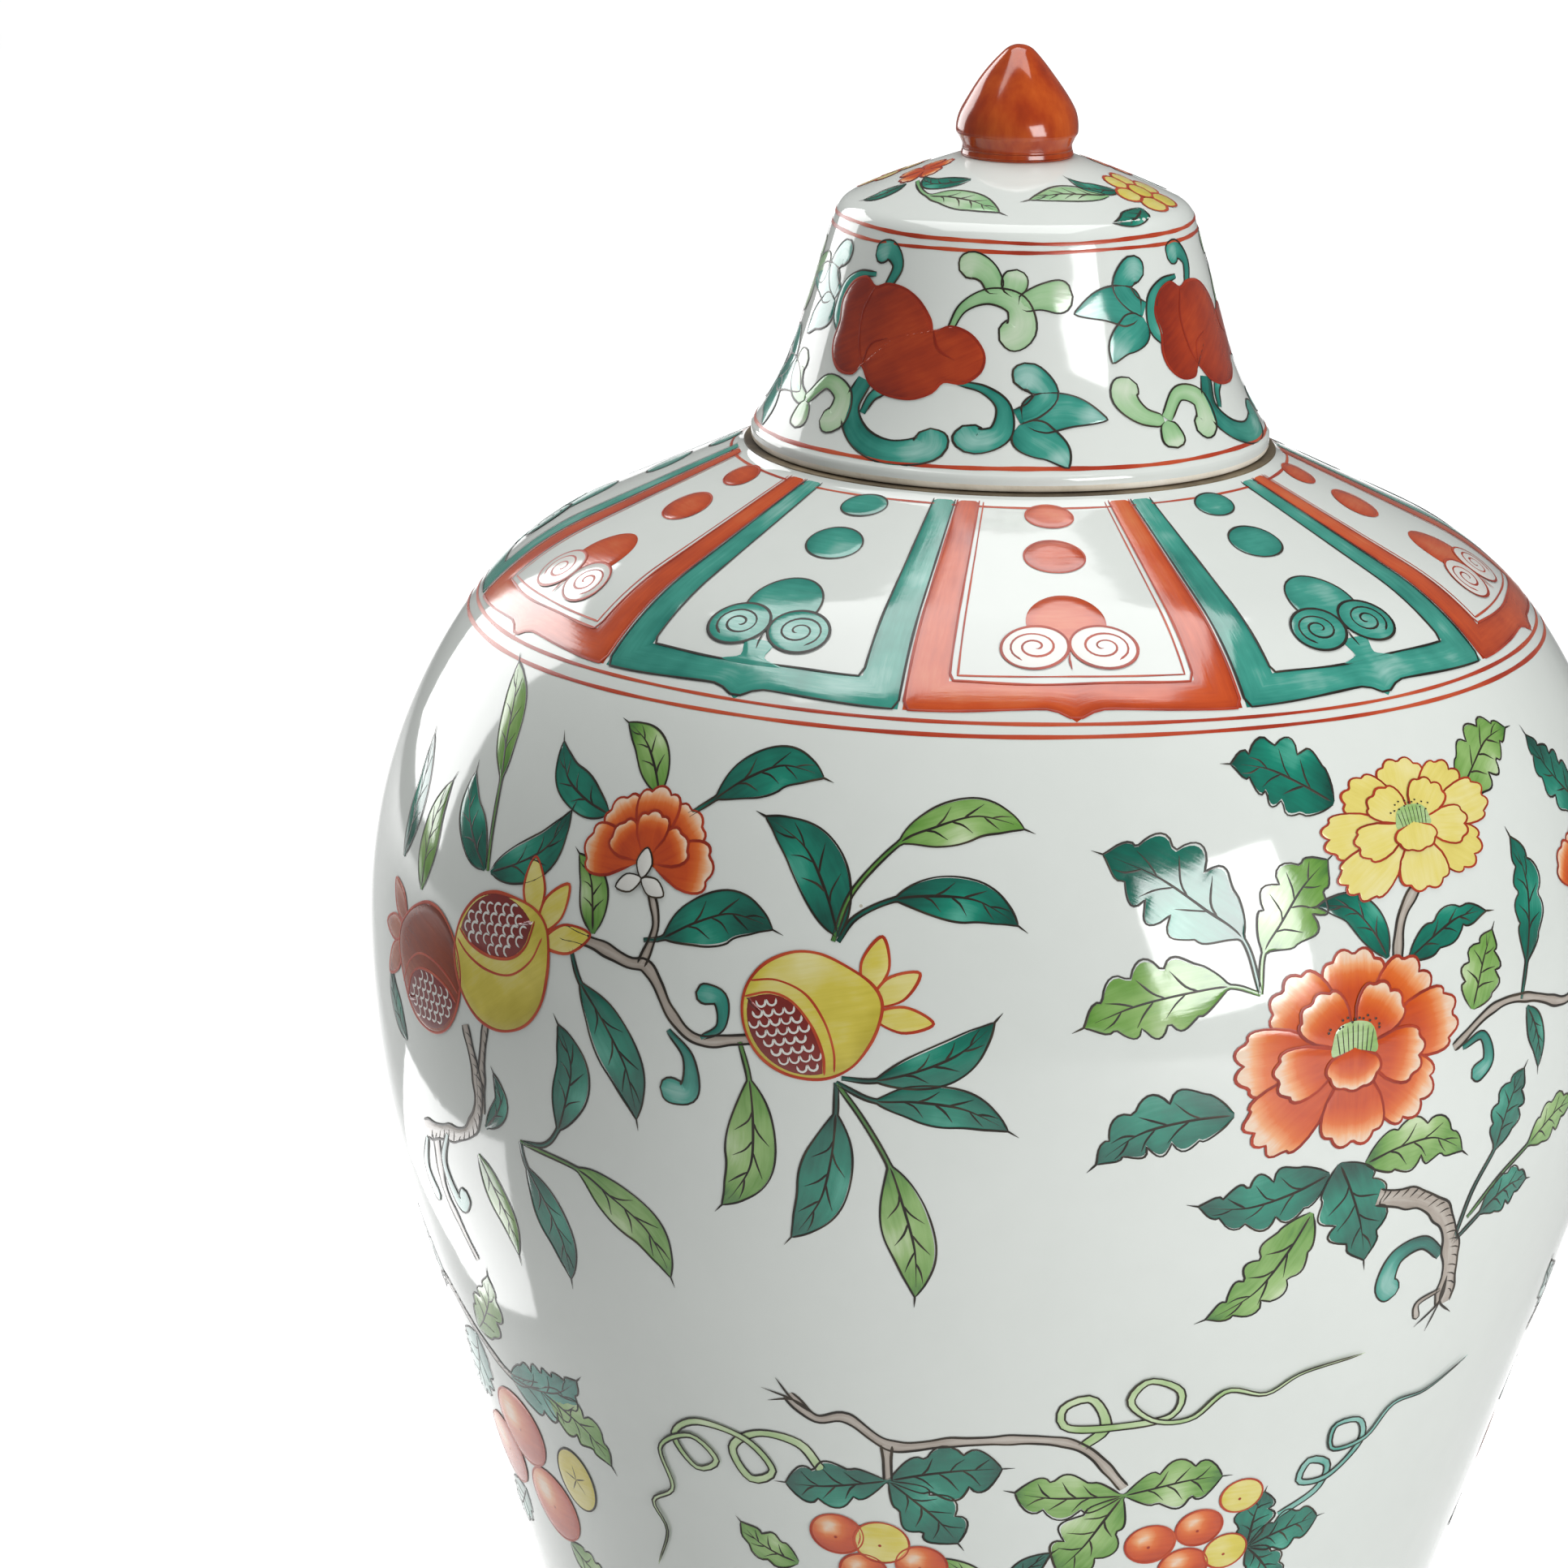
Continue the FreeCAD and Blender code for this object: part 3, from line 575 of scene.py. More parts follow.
def swash(sheet, colour, points, start, head, layer=0.0, tone=0.4, swell=1.4, round_start=False):
    """A full-bodied stroke that grows to a round head, with its outline drawn after it."""
    path = smooth(points, step=0.35)
    length = along(path)
    total = length[-1]
    t = length / total
    half = (start + (head - start) * t**swell) / 2
    half = half * round_off(total - length, head / 2)
    if round_start:
        half = half * round_off(length, start / 2)
    half = np.maximum(half, 0.05)

    def wash(s, c):
        light = np.exp(-(((s - 0.8) / 0.15) ** 2))
        return np.clip(tone + 0.35 * (1 - s) + 0.30 * c * c - 0.30 * light, 0, 1)

    ribbon(sheet, colour, path, half, half, layer, wash, 7, 0.09)
    side = normals(path)
    edge = np.vstack([path + side * half[:, None], (path - side * half[:, None])[::-1]])
    edge = resample(edge[::2], 0.8)
    stroke(sheet, "ink", edge, 0.38, layer + 1.0, (1.5, 1.5), curved=False)


def round_off(distance, radius):
    """How a width shrinks over the last radius before an end, so that the end is round."""
    left = np.clip(distance / radius, 0, 1)
    return np.sqrt(1 - (1 - left) ** 2)


def blob(sheet, colour, outline, layer=0.0, tone=0.5, centre=None, relief=0.09, turn=0.0):
    """A star-shaped patch of enamel, domed from its edge. tone may depend on its inner fraction."""
    outline = np.asarray(outline, float)
    centre = outline.mean(0) if centre is None else np.asarray(centre, float)
    spoke = outline - centre
    reach = np.linalg.norm(spoke, axis=1).mean()
    inset = 1 - min(0.5 / reach, 0.45)
    rings = max(1, int(reach / 1.8))
    shares = np.concatenate([[1.0, inset], np.linspace(inset, 0, rings + 1)[1:-1]])
    points = centre + spoke[None] * shares[:, None, None]
    points = np.vstack([points.reshape(-1, 2), centre[None]])
    count = len(outline)
    lift = np.full(len(points), BASE_LIFT + LAYER * layer + relief)
    lift[:count] = BASE_LIFT + LAYER * layer
    shares_all = np.append(np.repeat(shares, count), 0.0)
    tones = tone(points, shares_all) if callable(tone) else np.full(len(points), tone)
    c, s = math.cos(turn), math.sin(turn)
    grain = points @ np.array([[c, -s], [s, c]]) + rng.uniform(0, 400, 2)
    faces = []
    for ring in range(len(shares) - 1):
        low, high = ring * count, (ring + 1) * count
        for i in range(count):
            j = (i + 1) % count
            faces.append((low + i, low + j, high + j, high + i))
    low, middle = (len(shares) - 1) * count, len(points) - 1
    faces += [(low + i, low + (i + 1) % count, middle) for i in range(count)]
    after = np.roll(outline, -1, axis=0)
    area = np.sum(outline[:, 0] * after[:, 1] - after[:, 0] * outline[:, 1])
    mirrored = np.linalg.det(sheet.matrix) < 0
    if (area < 0) != mirrored:
        faces = [face[::-1] for face in faces]
    paint(sheet.body, colour).lay(sheet.place(points, lift), faces, tones, grain)


def ellipse(x, y, rx, ry, turn=0.0):
    """The outline of an ellipse, turned in degrees, with a point about every millimetre."""
    count = max(14, int(2 * math.pi * max(rx, ry)))
    angles = np.arange(count) * 2 * math.pi / count
    c, s = math.cos(math.radians(turn)), math.sin(math.radians(turn))
    px, py = rx * np.cos(angles), ry * np.sin(angles)
    return np.column_stack([x + c * px - s * py, y + s * px + c * py])


def ring(form, body, height, width):
    """A red line drawn right round a form at a height while it turns on the wheel."""
    length = form.length_at(height)
    spread = form.spread_at(length)
    sheet = Sheet(form, body, 0, length, spread)
    x = np.linspace(-180, 180, int(360 * spread / 1.1)) * spread
    turn = np.radians(np.linspace(-180, 180, len(x)))
    y = 0.22 * np.sin(turn * 2 + rng.uniform(0, 6)) + 0.12 * np.sin(turn * 7 + rng.uniform(0, 6))
    half = width / 2 * (1 + 0.12 * np.sin(turn * 5 + rng.uniform(0, 6)) + 0.10 * np.sin(turn * 31))
    tones = 0.5 + 0.2 * np.sin(turn * 9 + rng.uniform(0, 6))
    ribbon(sheet, "red_line", np.column_stack([x, y]), half, half, 0.3, tones[:, None], 3, 0.04)


# ---------------------------------------------------------------- motifs


def leaf(sheet, base, tip, width, colour="deep_green", bend=0.10, lobes=0, veins=3, stem=(), fullness=0.44):
    """A painted leaf on its stem: wash, outline, midrib and side veins, and a flick at its tip.

    Lobes turn the smooth edge into that many rounded teeth a side, deeper towards the tip.
    """
    base, tip = np.array(base, float), np.array(tip, float)
    chord = tip - base
    size = np.linalg.norm(chord)
    if not lobes:
        width *= 0.88
    sideways = np.array([-chord[1], chord[0]])
    curl = -0.35 * bend + rng.uniform(-0.02, 0.02)
    share = np.array([0.0, 0.3, 0.62, 0.86, 1.0])
    bow = bend * np.sin(np.pi * share) + curl * np.sin(2 * np.pi * share) * 0.35
    spine = base + share[:, None] * chord + bow[:, None] * sideways
    stalk = [np.array(point, float) for point in stem]
    path = smooth(np.vstack([*stalk, spine]), step=0.75)
    length = along(path)
    first = length[-1] - along(smooth(spine, step=0.75))[-1] if stalk else 0.0
    t = np.clip((length - first) / (length[-1] - first), 0, 1)
    rise, fall = fullness * (2.2 if stalk else 1.8), (1 - fullness) * 1.75
    body = t**rise * (1 - t) ** fall
    body /= body.max()
    stalk_half = 0.42 * (1 - t) ** 4 + 0.03
    sides = []
    for sign in (0, 1):
        edge = width / 2 * body * (1 + 0.12 * (sign - 0.5))
        if lobes:
            wave = np.abs(np.sin(math.pi * ((lobes - 0.4 * sign) * t**1.15 + 0.3 * sign))) ** 0.55
            depth = 0.50 * np.clip((t - 0.16) / 0.25, 0, 1)
            edge = edge * (1 - depth * (1 - wave)) * 1.08
        else:
            edge = edge * (1 + 0.05 * np.sin(8 * t + 3 * sign + rng.uniform(0, 2)))
        sides.append(np.maximum(edge, stalk_half))
    light, lean = rng.uniform(0.35, 0.60), rng.choice((-1.0, 1.0))
    stem_share = first / length[-1]

    def wash(s, c):
        own = np.clip((s - stem_share) / (1 - stem_share), 0, 1)
        patch = np.exp(-(((own - light) / 0.20) ** 2)) * np.clip(0.45 + 0.6 * c * lean, 0, 1)
        return np.clip(0.62 + 0.30 * np.abs(2 * own - 1) ** 2 - 0.52 * patch, 0, 1)

    side = normals(path)
    slip = rng.uniform(-0.25, 0.25) * body
    middle = path + side * slip[:, None]
    ribbon(sheet, colour, middle, sides[0] * 0.95, sides[1] * 0.95, 0.0, wash, 7, 0.09)
    edges = (path + side * sides[0][:, None], path - side * sides[1][:, None])
    flick = tip + (path[-1] - path[-4]) / np.linalg.norm(path[-1] - path[-4]) * min(2.4, size / 9)
    entry = (2.0, 0.6) if not stalk else (4.0, 0.6)
    stroke(sheet, "ink", edges[0], 0.38, 1.0, entry, curved=False)
    stroke(sheet, "ink", np.vstack([edges[1], flick]), 0.42, 1.0, (entry[0], 2.0), curved=False)
    leafy = np.flatnonzero(t > 0.0)
    begin, count = leafy[0], len(leafy)
    midrib = path[begin : begin + int(count * 0.93)]
    stroke(sheet, "ink", midrib, 0.50, 1.1, (1.0, size * 0.4), curved=False)
    for k in range(veins):
        for sign, edge in ((1, sides[0]), (-1, sides[1])):
            start = (k + 0.95 + 0.35 * (sign > 0)) / (veins + 1.6)
            i = begin + int(start * count)
            j = min(len(path) - 2, i + max(2, int(0.17 * count)))
            out = side[j] * sign * edge[j] * 0.72
            halfway = (path[i] + path[j]) / 2 + side[i] * sign * edge[i] * 0.26
            stroke(sheet, "ink", [path[i], halfway, path[j] + out], 0.42, 1.1, (0.3, 2.6))


def hook(sheet, points, start, head, colour="teal", layer=0.0):
    """A curled scroll leaf, teal unless another colour is given."""
    swash(sheet, colour, points, start, head, layer, tone=0.45)


def tendril(sheet, points, colour, width=1.5):
    """A vine's tendril: pale wash between two ink lines, thinning to its end, passing over itself."""
    path = smooth(points, step=0.7)
    length = along(path)
    t = length / length[-1]
    half = width / 2 * (1 - t) ** 0.55 * waver(length, 0.10) + 0.06
    ribbon(sheet, colour, path, half, half, 0.2, 0.18, 3, 0.05, climb=0.5)
    side = normals(path)
    for sign in (1, -1):
        edge = path + sign * side * half[:, None]
        stroke(sheet, "ink", edge[::2], 0.36, 0.9, (1.0, 3.0), climb=0.5, curved=False)


def branch(sheet, points, start, end, layer=0.0, hatch=False):
    """A branch: grey-brown wash between two broken ink lines, with knots, and bark hatching if asked."""
    path = smooth(points, step=0.7)
    length = along(path)
    t = length / length[-1]
    knots = 1 + 0.30 * np.abs(np.sin(length / 3.4 + rng.uniform(0, 3))) ** 5
    half = (start + (end - start) * t) / 2 * knots
    ribbon(sheet, "bark", path, half, half, layer, lambda s, c: 0.35 + 0.3 * np.abs(c), 5, 0.07)
    side = normals(path)
    for sign in (1, -1):
        edge = path + sign * side * (half * waver(length, 0.07))[:, None]
        stroke(sheet, "ink", edge, 0.5, layer + 1.0, (0.6, 0.6), curved=False)
    if hatch:
        for i in range(4, len(path) - 3, 3):
            a = path[i] + side[i] * half[i] * 0.9
            b = path[i - 2] - side[i] * half[i] * rng.uniform(-0.3, 0.5)
            stroke(sheet, "ink", [a, (a + b) / 2 + 0.2, b], 0.32, layer + 1.1, (0.3, 1.2))


def petal(sheet, base, direction, reach, spread, scallops, colour, layer, pale_from=0.60):
    """One petal, a fan from its base with a scalloped edge. Petal red pales towards that edge."""
    base = np.array(base, float)
    u = np.linspace(-1, 1, max(16, int(reach * math.radians(spread) * 2 / 0.7)))
    angle = np.radians(direction + spread * u)
    edge = 1 - 0.36 * np.abs(u) ** 3.4 + 0.085 * np.abs(np.sin(math.pi * scallops * (u + 1) / 2)) ** 0.8
    rim = base + (reach * edge)[:, None] * np.column_stack([np.cos(angle), np.sin(angle)])
    halfway = [end + (base - end) * 0.5 for end in (rim[-1], rim[0])]
    outline = np.vstack([rim, halfway[0], base, halfway[1]])
    heart = base + (rim[len(rim) // 2] - base) * 0.62

    def wash(points, shares):
        out = np.linalg.norm(points - base, axis=1) / reach
        return np.clip(0.86 - 0.98 * np.clip((out - pale_from) / (1.02 - pale_from), 0, 1) ** 1.5, 0, 1)

    blob(sheet, colour, outline, layer, wash if colour == "petal_red" else 0.35 + 0.2 * rng.uniform(),
         heart, 0.07, math.radians(direction))
    line = np.vstack([base + (rim[0] - base) * 0.35, rim, base + (rim[-1] - base) * 0.35])
    stroke(sheet, "red_line", line, 0.62, layer + 0.55, (3.0, 3.0), curved=False, tone=0.8)


def stamens(sheet, x, y, width, height, layer):
    """The flower's heart: a green striped tuft with dark dots of pollen over it."""
    dome = [(x - width / 2, y - height / 2), (x - width * 0.55, y), (x - width * 0.40, y + height * 0.42),
            (x, y + height * 0.55), (x + width * 0.40, y + height * 0.42), (x + width * 0.55, y),
            (x + width / 2, y - height / 2)]
    blob(sheet, "leaf_green", smooth(dome, True), layer, 0.30)
    for k in np.linspace(-0.42, 0.42, 8):
        top = y + height * (0.5 - 1.4 * k * k)
        stroke(sheet, "ink", [(x + k * width * 0.9, y - height * 0.45), (x + k * width * 1.1, top)], 0.26,
               layer + 0.9, (0.3, 0.5))
    for k in range(15):
        a = math.radians(15 + 150 * (k + rng.uniform(-0.3, 0.3)) / 14)
        r = 1 + 0.28 * rng.uniform(-1, 1)
        dot_x, dot_y = x + width * 0.55 * r * math.cos(a), y + height * (0.08 + 0.60 * r * math.sin(a))
        blob(sheet, "ink", ellipse(dot_x, dot_y, 0.27, 0.27), layer + 0.9, 0.6, relief=0.04)


OUTER_PETALS = (
    (88, 18.5, 31, 4), (139, 19.5, 29, 4), (40, 20.5, 27, 4), (183, 23.0, 24, 4), (8, 23.5, 23, 4),
    (321, 21.0, 28, 4), (221, 25.0, 23, 5), (272, 19.0, 30, 4),
)
INNER_PETALS = ((131, 13.5, 34), (52, 13.8, 34), (196, 16.0, 28), (348, 15.5, 30))


def peony(sheet, colour, pale_from=0.62):
    """A full peony: eight outer petals, four inner ones round the stamens and one small one before them."""
    for i, (direction, reach, spread, scallops) in enumerate(OUTER_PETALS):
        petal(sheet, (0, 0), direction, reach, spread, scallops, colour, 0.2 + 0.3 * i, pale_from)
    for i, (direction, reach, spread) in enumerate(INNER_PETALS):
        petal(sheet, (0, -0.5), direction, reach, spread, 4, colour, 2.7 + 0.3 * i, pale_from - 0.08)
    stamens(sheet, 0.2, 1.8, 8.8, 6.8, 4.2)
    petal(sheet, (0, 0.2), 270, 8.2, 68, 5, colour, 5.2, 0.5)


def sepal(base, direction, reach, middle, lean):
    """The outline of a pointed lobe, broadest at a middle reach by this many degrees on both sides."""
    left, right = (polar(base, middle, direction + turn) for turn in (lean, -lean))
    return smooth([base, left, polar(base, reach, direction), right], True)


def fan_flower(sheet):
    """A pomegranate blossom seen from its side, over a pale calyx."""
    back = ((46, 15.0, 29), (134, 15.0, 29), (90, 15.2, 30), (2, 15.5, 30), (178, 15.5, 30))
    for i, (direction, reach, spread) in enumerate(back):
        petal(sheet, (0, 0), direction, reach, spread, 3, "petal_red", 0.3 + 0.3 * i, 0.68)
    for i, (direction, reach, spread) in enumerate(((34, 10.5, 33), (146, 10.5, 33), (90, 10.6, 32))):
        petal(sheet, (0, -0.5), direction, reach, spread, 3, "petal_red", 1.9 + 0.3 * i, 0.68)
    for direction in (205, 335, 90):
        lobe = sepal((0, -4.0), direction, 6.8, 4.0, 30)
        blob(sheet, "reserve", lobe, 3.0, 0.6)
        stroke(sheet, "ink", lobe, 0.38, 3.9, closed=True, curved=False)


def pomegranate(sheet, colour, window=0.0):
    """A split pomegranate of radius 12.5 mm, its crown along +x, its window of seeds turned by an angle."""
    corners = [(13.4, 4.2), (9.5, 8.2), (4.5, 11.6), (-1, 12.6), (-7, 10.8), (-11.3, 6.4), (-12.8, 0),
               (-11.2, -6.4), (-6.6, -11), (0, -13), (6, -11.6), (10.6, -7.6), (13.4, -3.4), (14.6, 0.4)]
    body = smooth(corners, True)
    for direction, reach in ((66, 12.0), (24, 11.5), (-18, 11.5)):
        base = (12.2, 2.0 * (direction - 24) / 42)
        lobe = sepal(base, direction, reach, reach * 0.55, 24)
        blob(sheet, colour, lobe, 0.3, 0.35)
        stroke(sheet, "red_line", lobe, 0.55, 1.2, closed=True, curved=False)

    def wash(points, shares):
        return np.clip(0.48 - 0.022 * points[:, 1] + 0.2 * shares**6, 0, 1)

    blob(sheet, colour, body, 1.0, wash)
    stroke(sheet, "red_line", body, 0.58, 2.0, closed=True, curved=False)
    s = sheet.sub(0, 0, window)
    edge = smooth([(-11.6, 5.2), (-6.4, 5.4), (-2.4, 3.0), (0.4, -2.2), (1.4, -8.0), (0.8, -12.3)])
    lip = smooth([(-9.9, 8.2), (-4.6, 7.6), (0.4, 4.2), (3.0, -1.6), (3.6, -7.6), (2.8, -12.0)])
    angles = np.radians(np.linspace(268, 156, 22))
    hole = np.vstack([edge, np.column_stack([12.2 * np.cos(angles), 12.4 * np.sin(angles)])])
    blob(s, "seed_red", hole, 1.6, 0.4, centre=(-5.2, -3.2), relief=0.05)
    stroke(s, "red_line", lip, 0.45, 2.1, (0.6, 0.6), curved=False)
    stroke(s, "red_line", edge, 0.55, 2.3, (0.6, 0.6), curved=False)
    seed = np.array([(-0.95, 0.5), (-0.75, -0.45), (0, -0.85), (0.75, -0.45), (0.95, 0.5)])
    pitch = 2.15
    for row in range(9):
        for column in range(9):
            x = -12.8 + pitch * (column + 0.5 * (row % 2))
            y = -12.2 + pitch * 0.92 * row
            if np.linalg.norm(hole - (x, y), axis=1).min() > 1.1 and inside(hole, x, y):
                stroke(s, "reserve", seed + (x, y), 0.42, 2.3, (0.4, 0.4))


def inside(outline, x, y):
    """Whether a point lies inside an outline, by counting crossings."""
    a, b = outline, np.roll(outline, -1, axis=0)
    crosses = (a[:, 1] > y) != (b[:, 1] > y)
    at = a[:, 0] + (y - a[:, 1]) / np.where(crosses, b[:, 1] - a[:, 1], 1) * (b[:, 0] - a[:, 0])
    return bool(np.sum(crosses & (x < at)) % 2)


def lobed_leaf(sheet, x, y, lobes, colour):
    """A vine leaf of broad lobes that meet at its heart: (direction, length, width) each."""
    for direction, reach, width in lobes:
        tip = polar((x, y), reach, direction)
        leaf(sheet, (x, y), tip, width, colour, 0.04, lobes=3, veins=3, fullness=0.58)


def berry(sheet, x, y, size, colour):
    """A round fruit with a pale light on it and its dark eye."""
    light = (x - size / 3, y + size / 3)

    def wash(points, shares):
        away = np.sum((points - light) ** 2, 1) / (size * 0.62) ** 2
        return np.clip(0.95 - np.exp(-away), 0, 1)

    edge = ellipse(x, y, size * 1.05, size * 0.95)
    blob(sheet, colour, edge, 1.0, wash if colour == "petal_red" else 0.4)
    stroke(sheet, "red_line", edge, 0.45, 1.9, closed=True, curved=False)
    blob(sheet, "red_line", ellipse(x - 0.3, y - 0.8, 0.4, 0.4), 1.9, 0.8, relief=0.03)


# ---------------------------------------------------------------- the jar's painting


def spiral(x, y, rx, ry, hand, turns=1.9):
    """A spiral from its outer end inwards, turning left or right."""
    t = np.linspace(0, 1, 22)
    angle = math.radians(-60 if hand > 0 else 240) + hand * t * turns * 2 * math.pi
    shrink = 0.74 * (1 - t) ** 0.9 + 0.10
    return np.column_stack([x + rx * shrink * np.cos(angle), y + ry * shrink * np.sin(angle)])


LAPPET_TOP, LAPPET_MIDDLE, LAPPET_SILL, LAPPET_FOOT = 360.3, 339.5, 333.9, 328.8
LAPPET_HALF, LAPPET_INNER = 17.75, 13.3
# lengths along the outline, the dots with their half width and half height
LAPPET_DOTS = ((399.7, 4.9, 3.8), (386.3, 6.2, 5.3))
LAPPET_LOBE, LAPPET_CURLS = 365.2, 358.0


def lappet(centre, colour, line):
    """One shoulder panel: a broad border with a cusp, two dots and a cloud head of lobe and curls."""
    mark = jar.length_at
    start = mark(LAPPET_MIDDLE)
    spread = jar.spread_at(start)
    sheet = Sheet(jar, "jar", centre, start, spread)
    top, bottom, sill = (mark(height) - start for height in (LAPPET_TOP, LAPPET_FOOT, LAPPET_SILL))
    half, inner = LAPPET_HALF * spread, LAPPET_INNER * spread
    rise = np.linspace(1, 0, 32)
    run = np.linspace(-1, 1, 61)[1:-1]
    cusp = np.clip(1 - np.abs(run) / 0.20, 0, 1) ** 2.0 * 3.0
    dip = 0.7 * np.cos(np.abs(run) * math.pi)
    side_out = np.column_stack([np.full(32, -half), bottom + (top - bottom) * rise])
    side_in = np.column_stack([np.full(32, -inner), sill + (top - sill) * rise])
    low = np.column_stack([run * half, bottom - cusp + dip + 0.7])
    high = np.column_stack([run * inner, np.full(len(run), sill) + 0.2 * np.sin(run * 5)])
    flip = np.array([-1, 1])
    outer_path = np.vstack([side_out, low, side_out[::-1] * flip])
    inner_path = np.vstack([side_in, high, side_in[::-1] * flip])
    across = np.linspace(0, 1, 7)
    points = outer_path[:, None] + (inner_path - outer_path)[:, None] * across[None, :, None]
    length = along((outer_path + inner_path) / 2)
    lift = BASE_LIFT + 0.10 * (1 - (2 * across - 1) ** 6)[None, :] + np.zeros((len(length), 1))
    grain = np.stack([np.broadcast_to(part, lift.shape) for part in (length[:, None], across * 8)], -1)
    grain = grain + rng.uniform(0, 300, 2)
    drift = 0.10 * np.sin(length / 17 + centre)[:, None]
    tones = 0.42 + 0.22 * np.abs(2 * across - 1)[None, :] ** 3 + drift
    faces = grid_faces(*lift.shape)[:, [1, 2, 3, 0]]
    paint("jar", colour).lay(sheet.place(points, lift), faces, tones, grain)
    stroke(sheet, line, outer_path[::2], 0.5, 1.2, (0.5, 0.5), curved=False, tone=0.7)
    stroke(sheet, line, inner_path[::2], 0.5, 1.2, (0.5, 0.5), curved=False, tone=0.6)
    if colour == "iron_red":
        x, low_y = inner - 1.5, sill + 1.5
        inset = [(-x, top), (-x, low_y), (0, low_y + 0.3), (x, low_y), (x, top)]
        stroke(sheet, line, inset, 0.42, 0.4, (0.5, 0.5), curved=False)
    for place, rx, ry in LAPPET_DOTS:
        here = jar.spread_at(place) / spread
        dot = ellipse(rng.uniform(-0.6, 0.6), place - start, rx / here, ry, turn=rng.uniform(-5, 5))
        blob(sheet, colour, dot, 0.2, lambda p, s: 0.35 + 0.35 * s**3)
        stroke(sheet, line, dot, 0.45, 1.1, closed=True, curved=False)
    curl_x, curl_y = 6.9, LAPPET_CURLS - start
    lobe = ellipse(0, LAPPET_LOBE - start, 8.6, 8.4)
    blob(sheet, colour, lobe, 0.2, lambda p, s: 0.35 + 0.3 * s**3)
    if colour == "teal":
        stroke(sheet, line, lobe, 0.45, 1.1, closed=True, curved=False)
    for hand in (-1, 1):
        curl = ellipse(hand * curl_x, curl_y, 6.8, 5.6, turn=-hand * 12)
        blob(sheet, "reserve" if colour == "iron_red" else colour, curl, 1.1, lambda p, s: 0.3 + 0.3 * s**3)
        stroke(sheet, line, curl, 0.60, 2.0, closed=True, curved=False, tone=0.7)
        stroke(sheet, line, spiral(hand * curl_x, curl_y, 6.2, 5.0, hand), 0.60, 2.0, (0.8, 1.0), tone=0.7)
    if colour == "teal":
        stalk = [(-6.5, sill - 0.4), (-2.6, sill + 1.4), (-3.0, curl_y - 4),
                 (3.0, curl_y - 4), (2.6, sill + 1.4), (6.5, sill - 0.4)]
        blob(sheet, colour, smooth(stalk, True), 0.6, 0.4, centre=(0, sill + 1.5))
    stem = [(0, curl_y - 5.8), (-0.3, curl_y - 3.2), (0, curl_y - 1)]
    stroke(sheet, line, stem, 0.5, 2.0)


FIRST_LAPPET = 7.5
LAPPETS = 10
for k in range(LAPPETS):
    red = k % 2 == 0
    lappet(FIRST_LAPPET + k * 360 / LAPPETS, "iron_red" if red else "teal", "red_line" if red else "ink")
for height, width in ((325.0, 0.85), (327.3, 0.75), (359.4, 0.6)):
    ring(jar, "jar", height, width)

# where a paper starts along the outline, and its millimetres to a degree
BELLY_PAPER = (270, 2.2)
LOWER_PAPER = (150, 1.9)


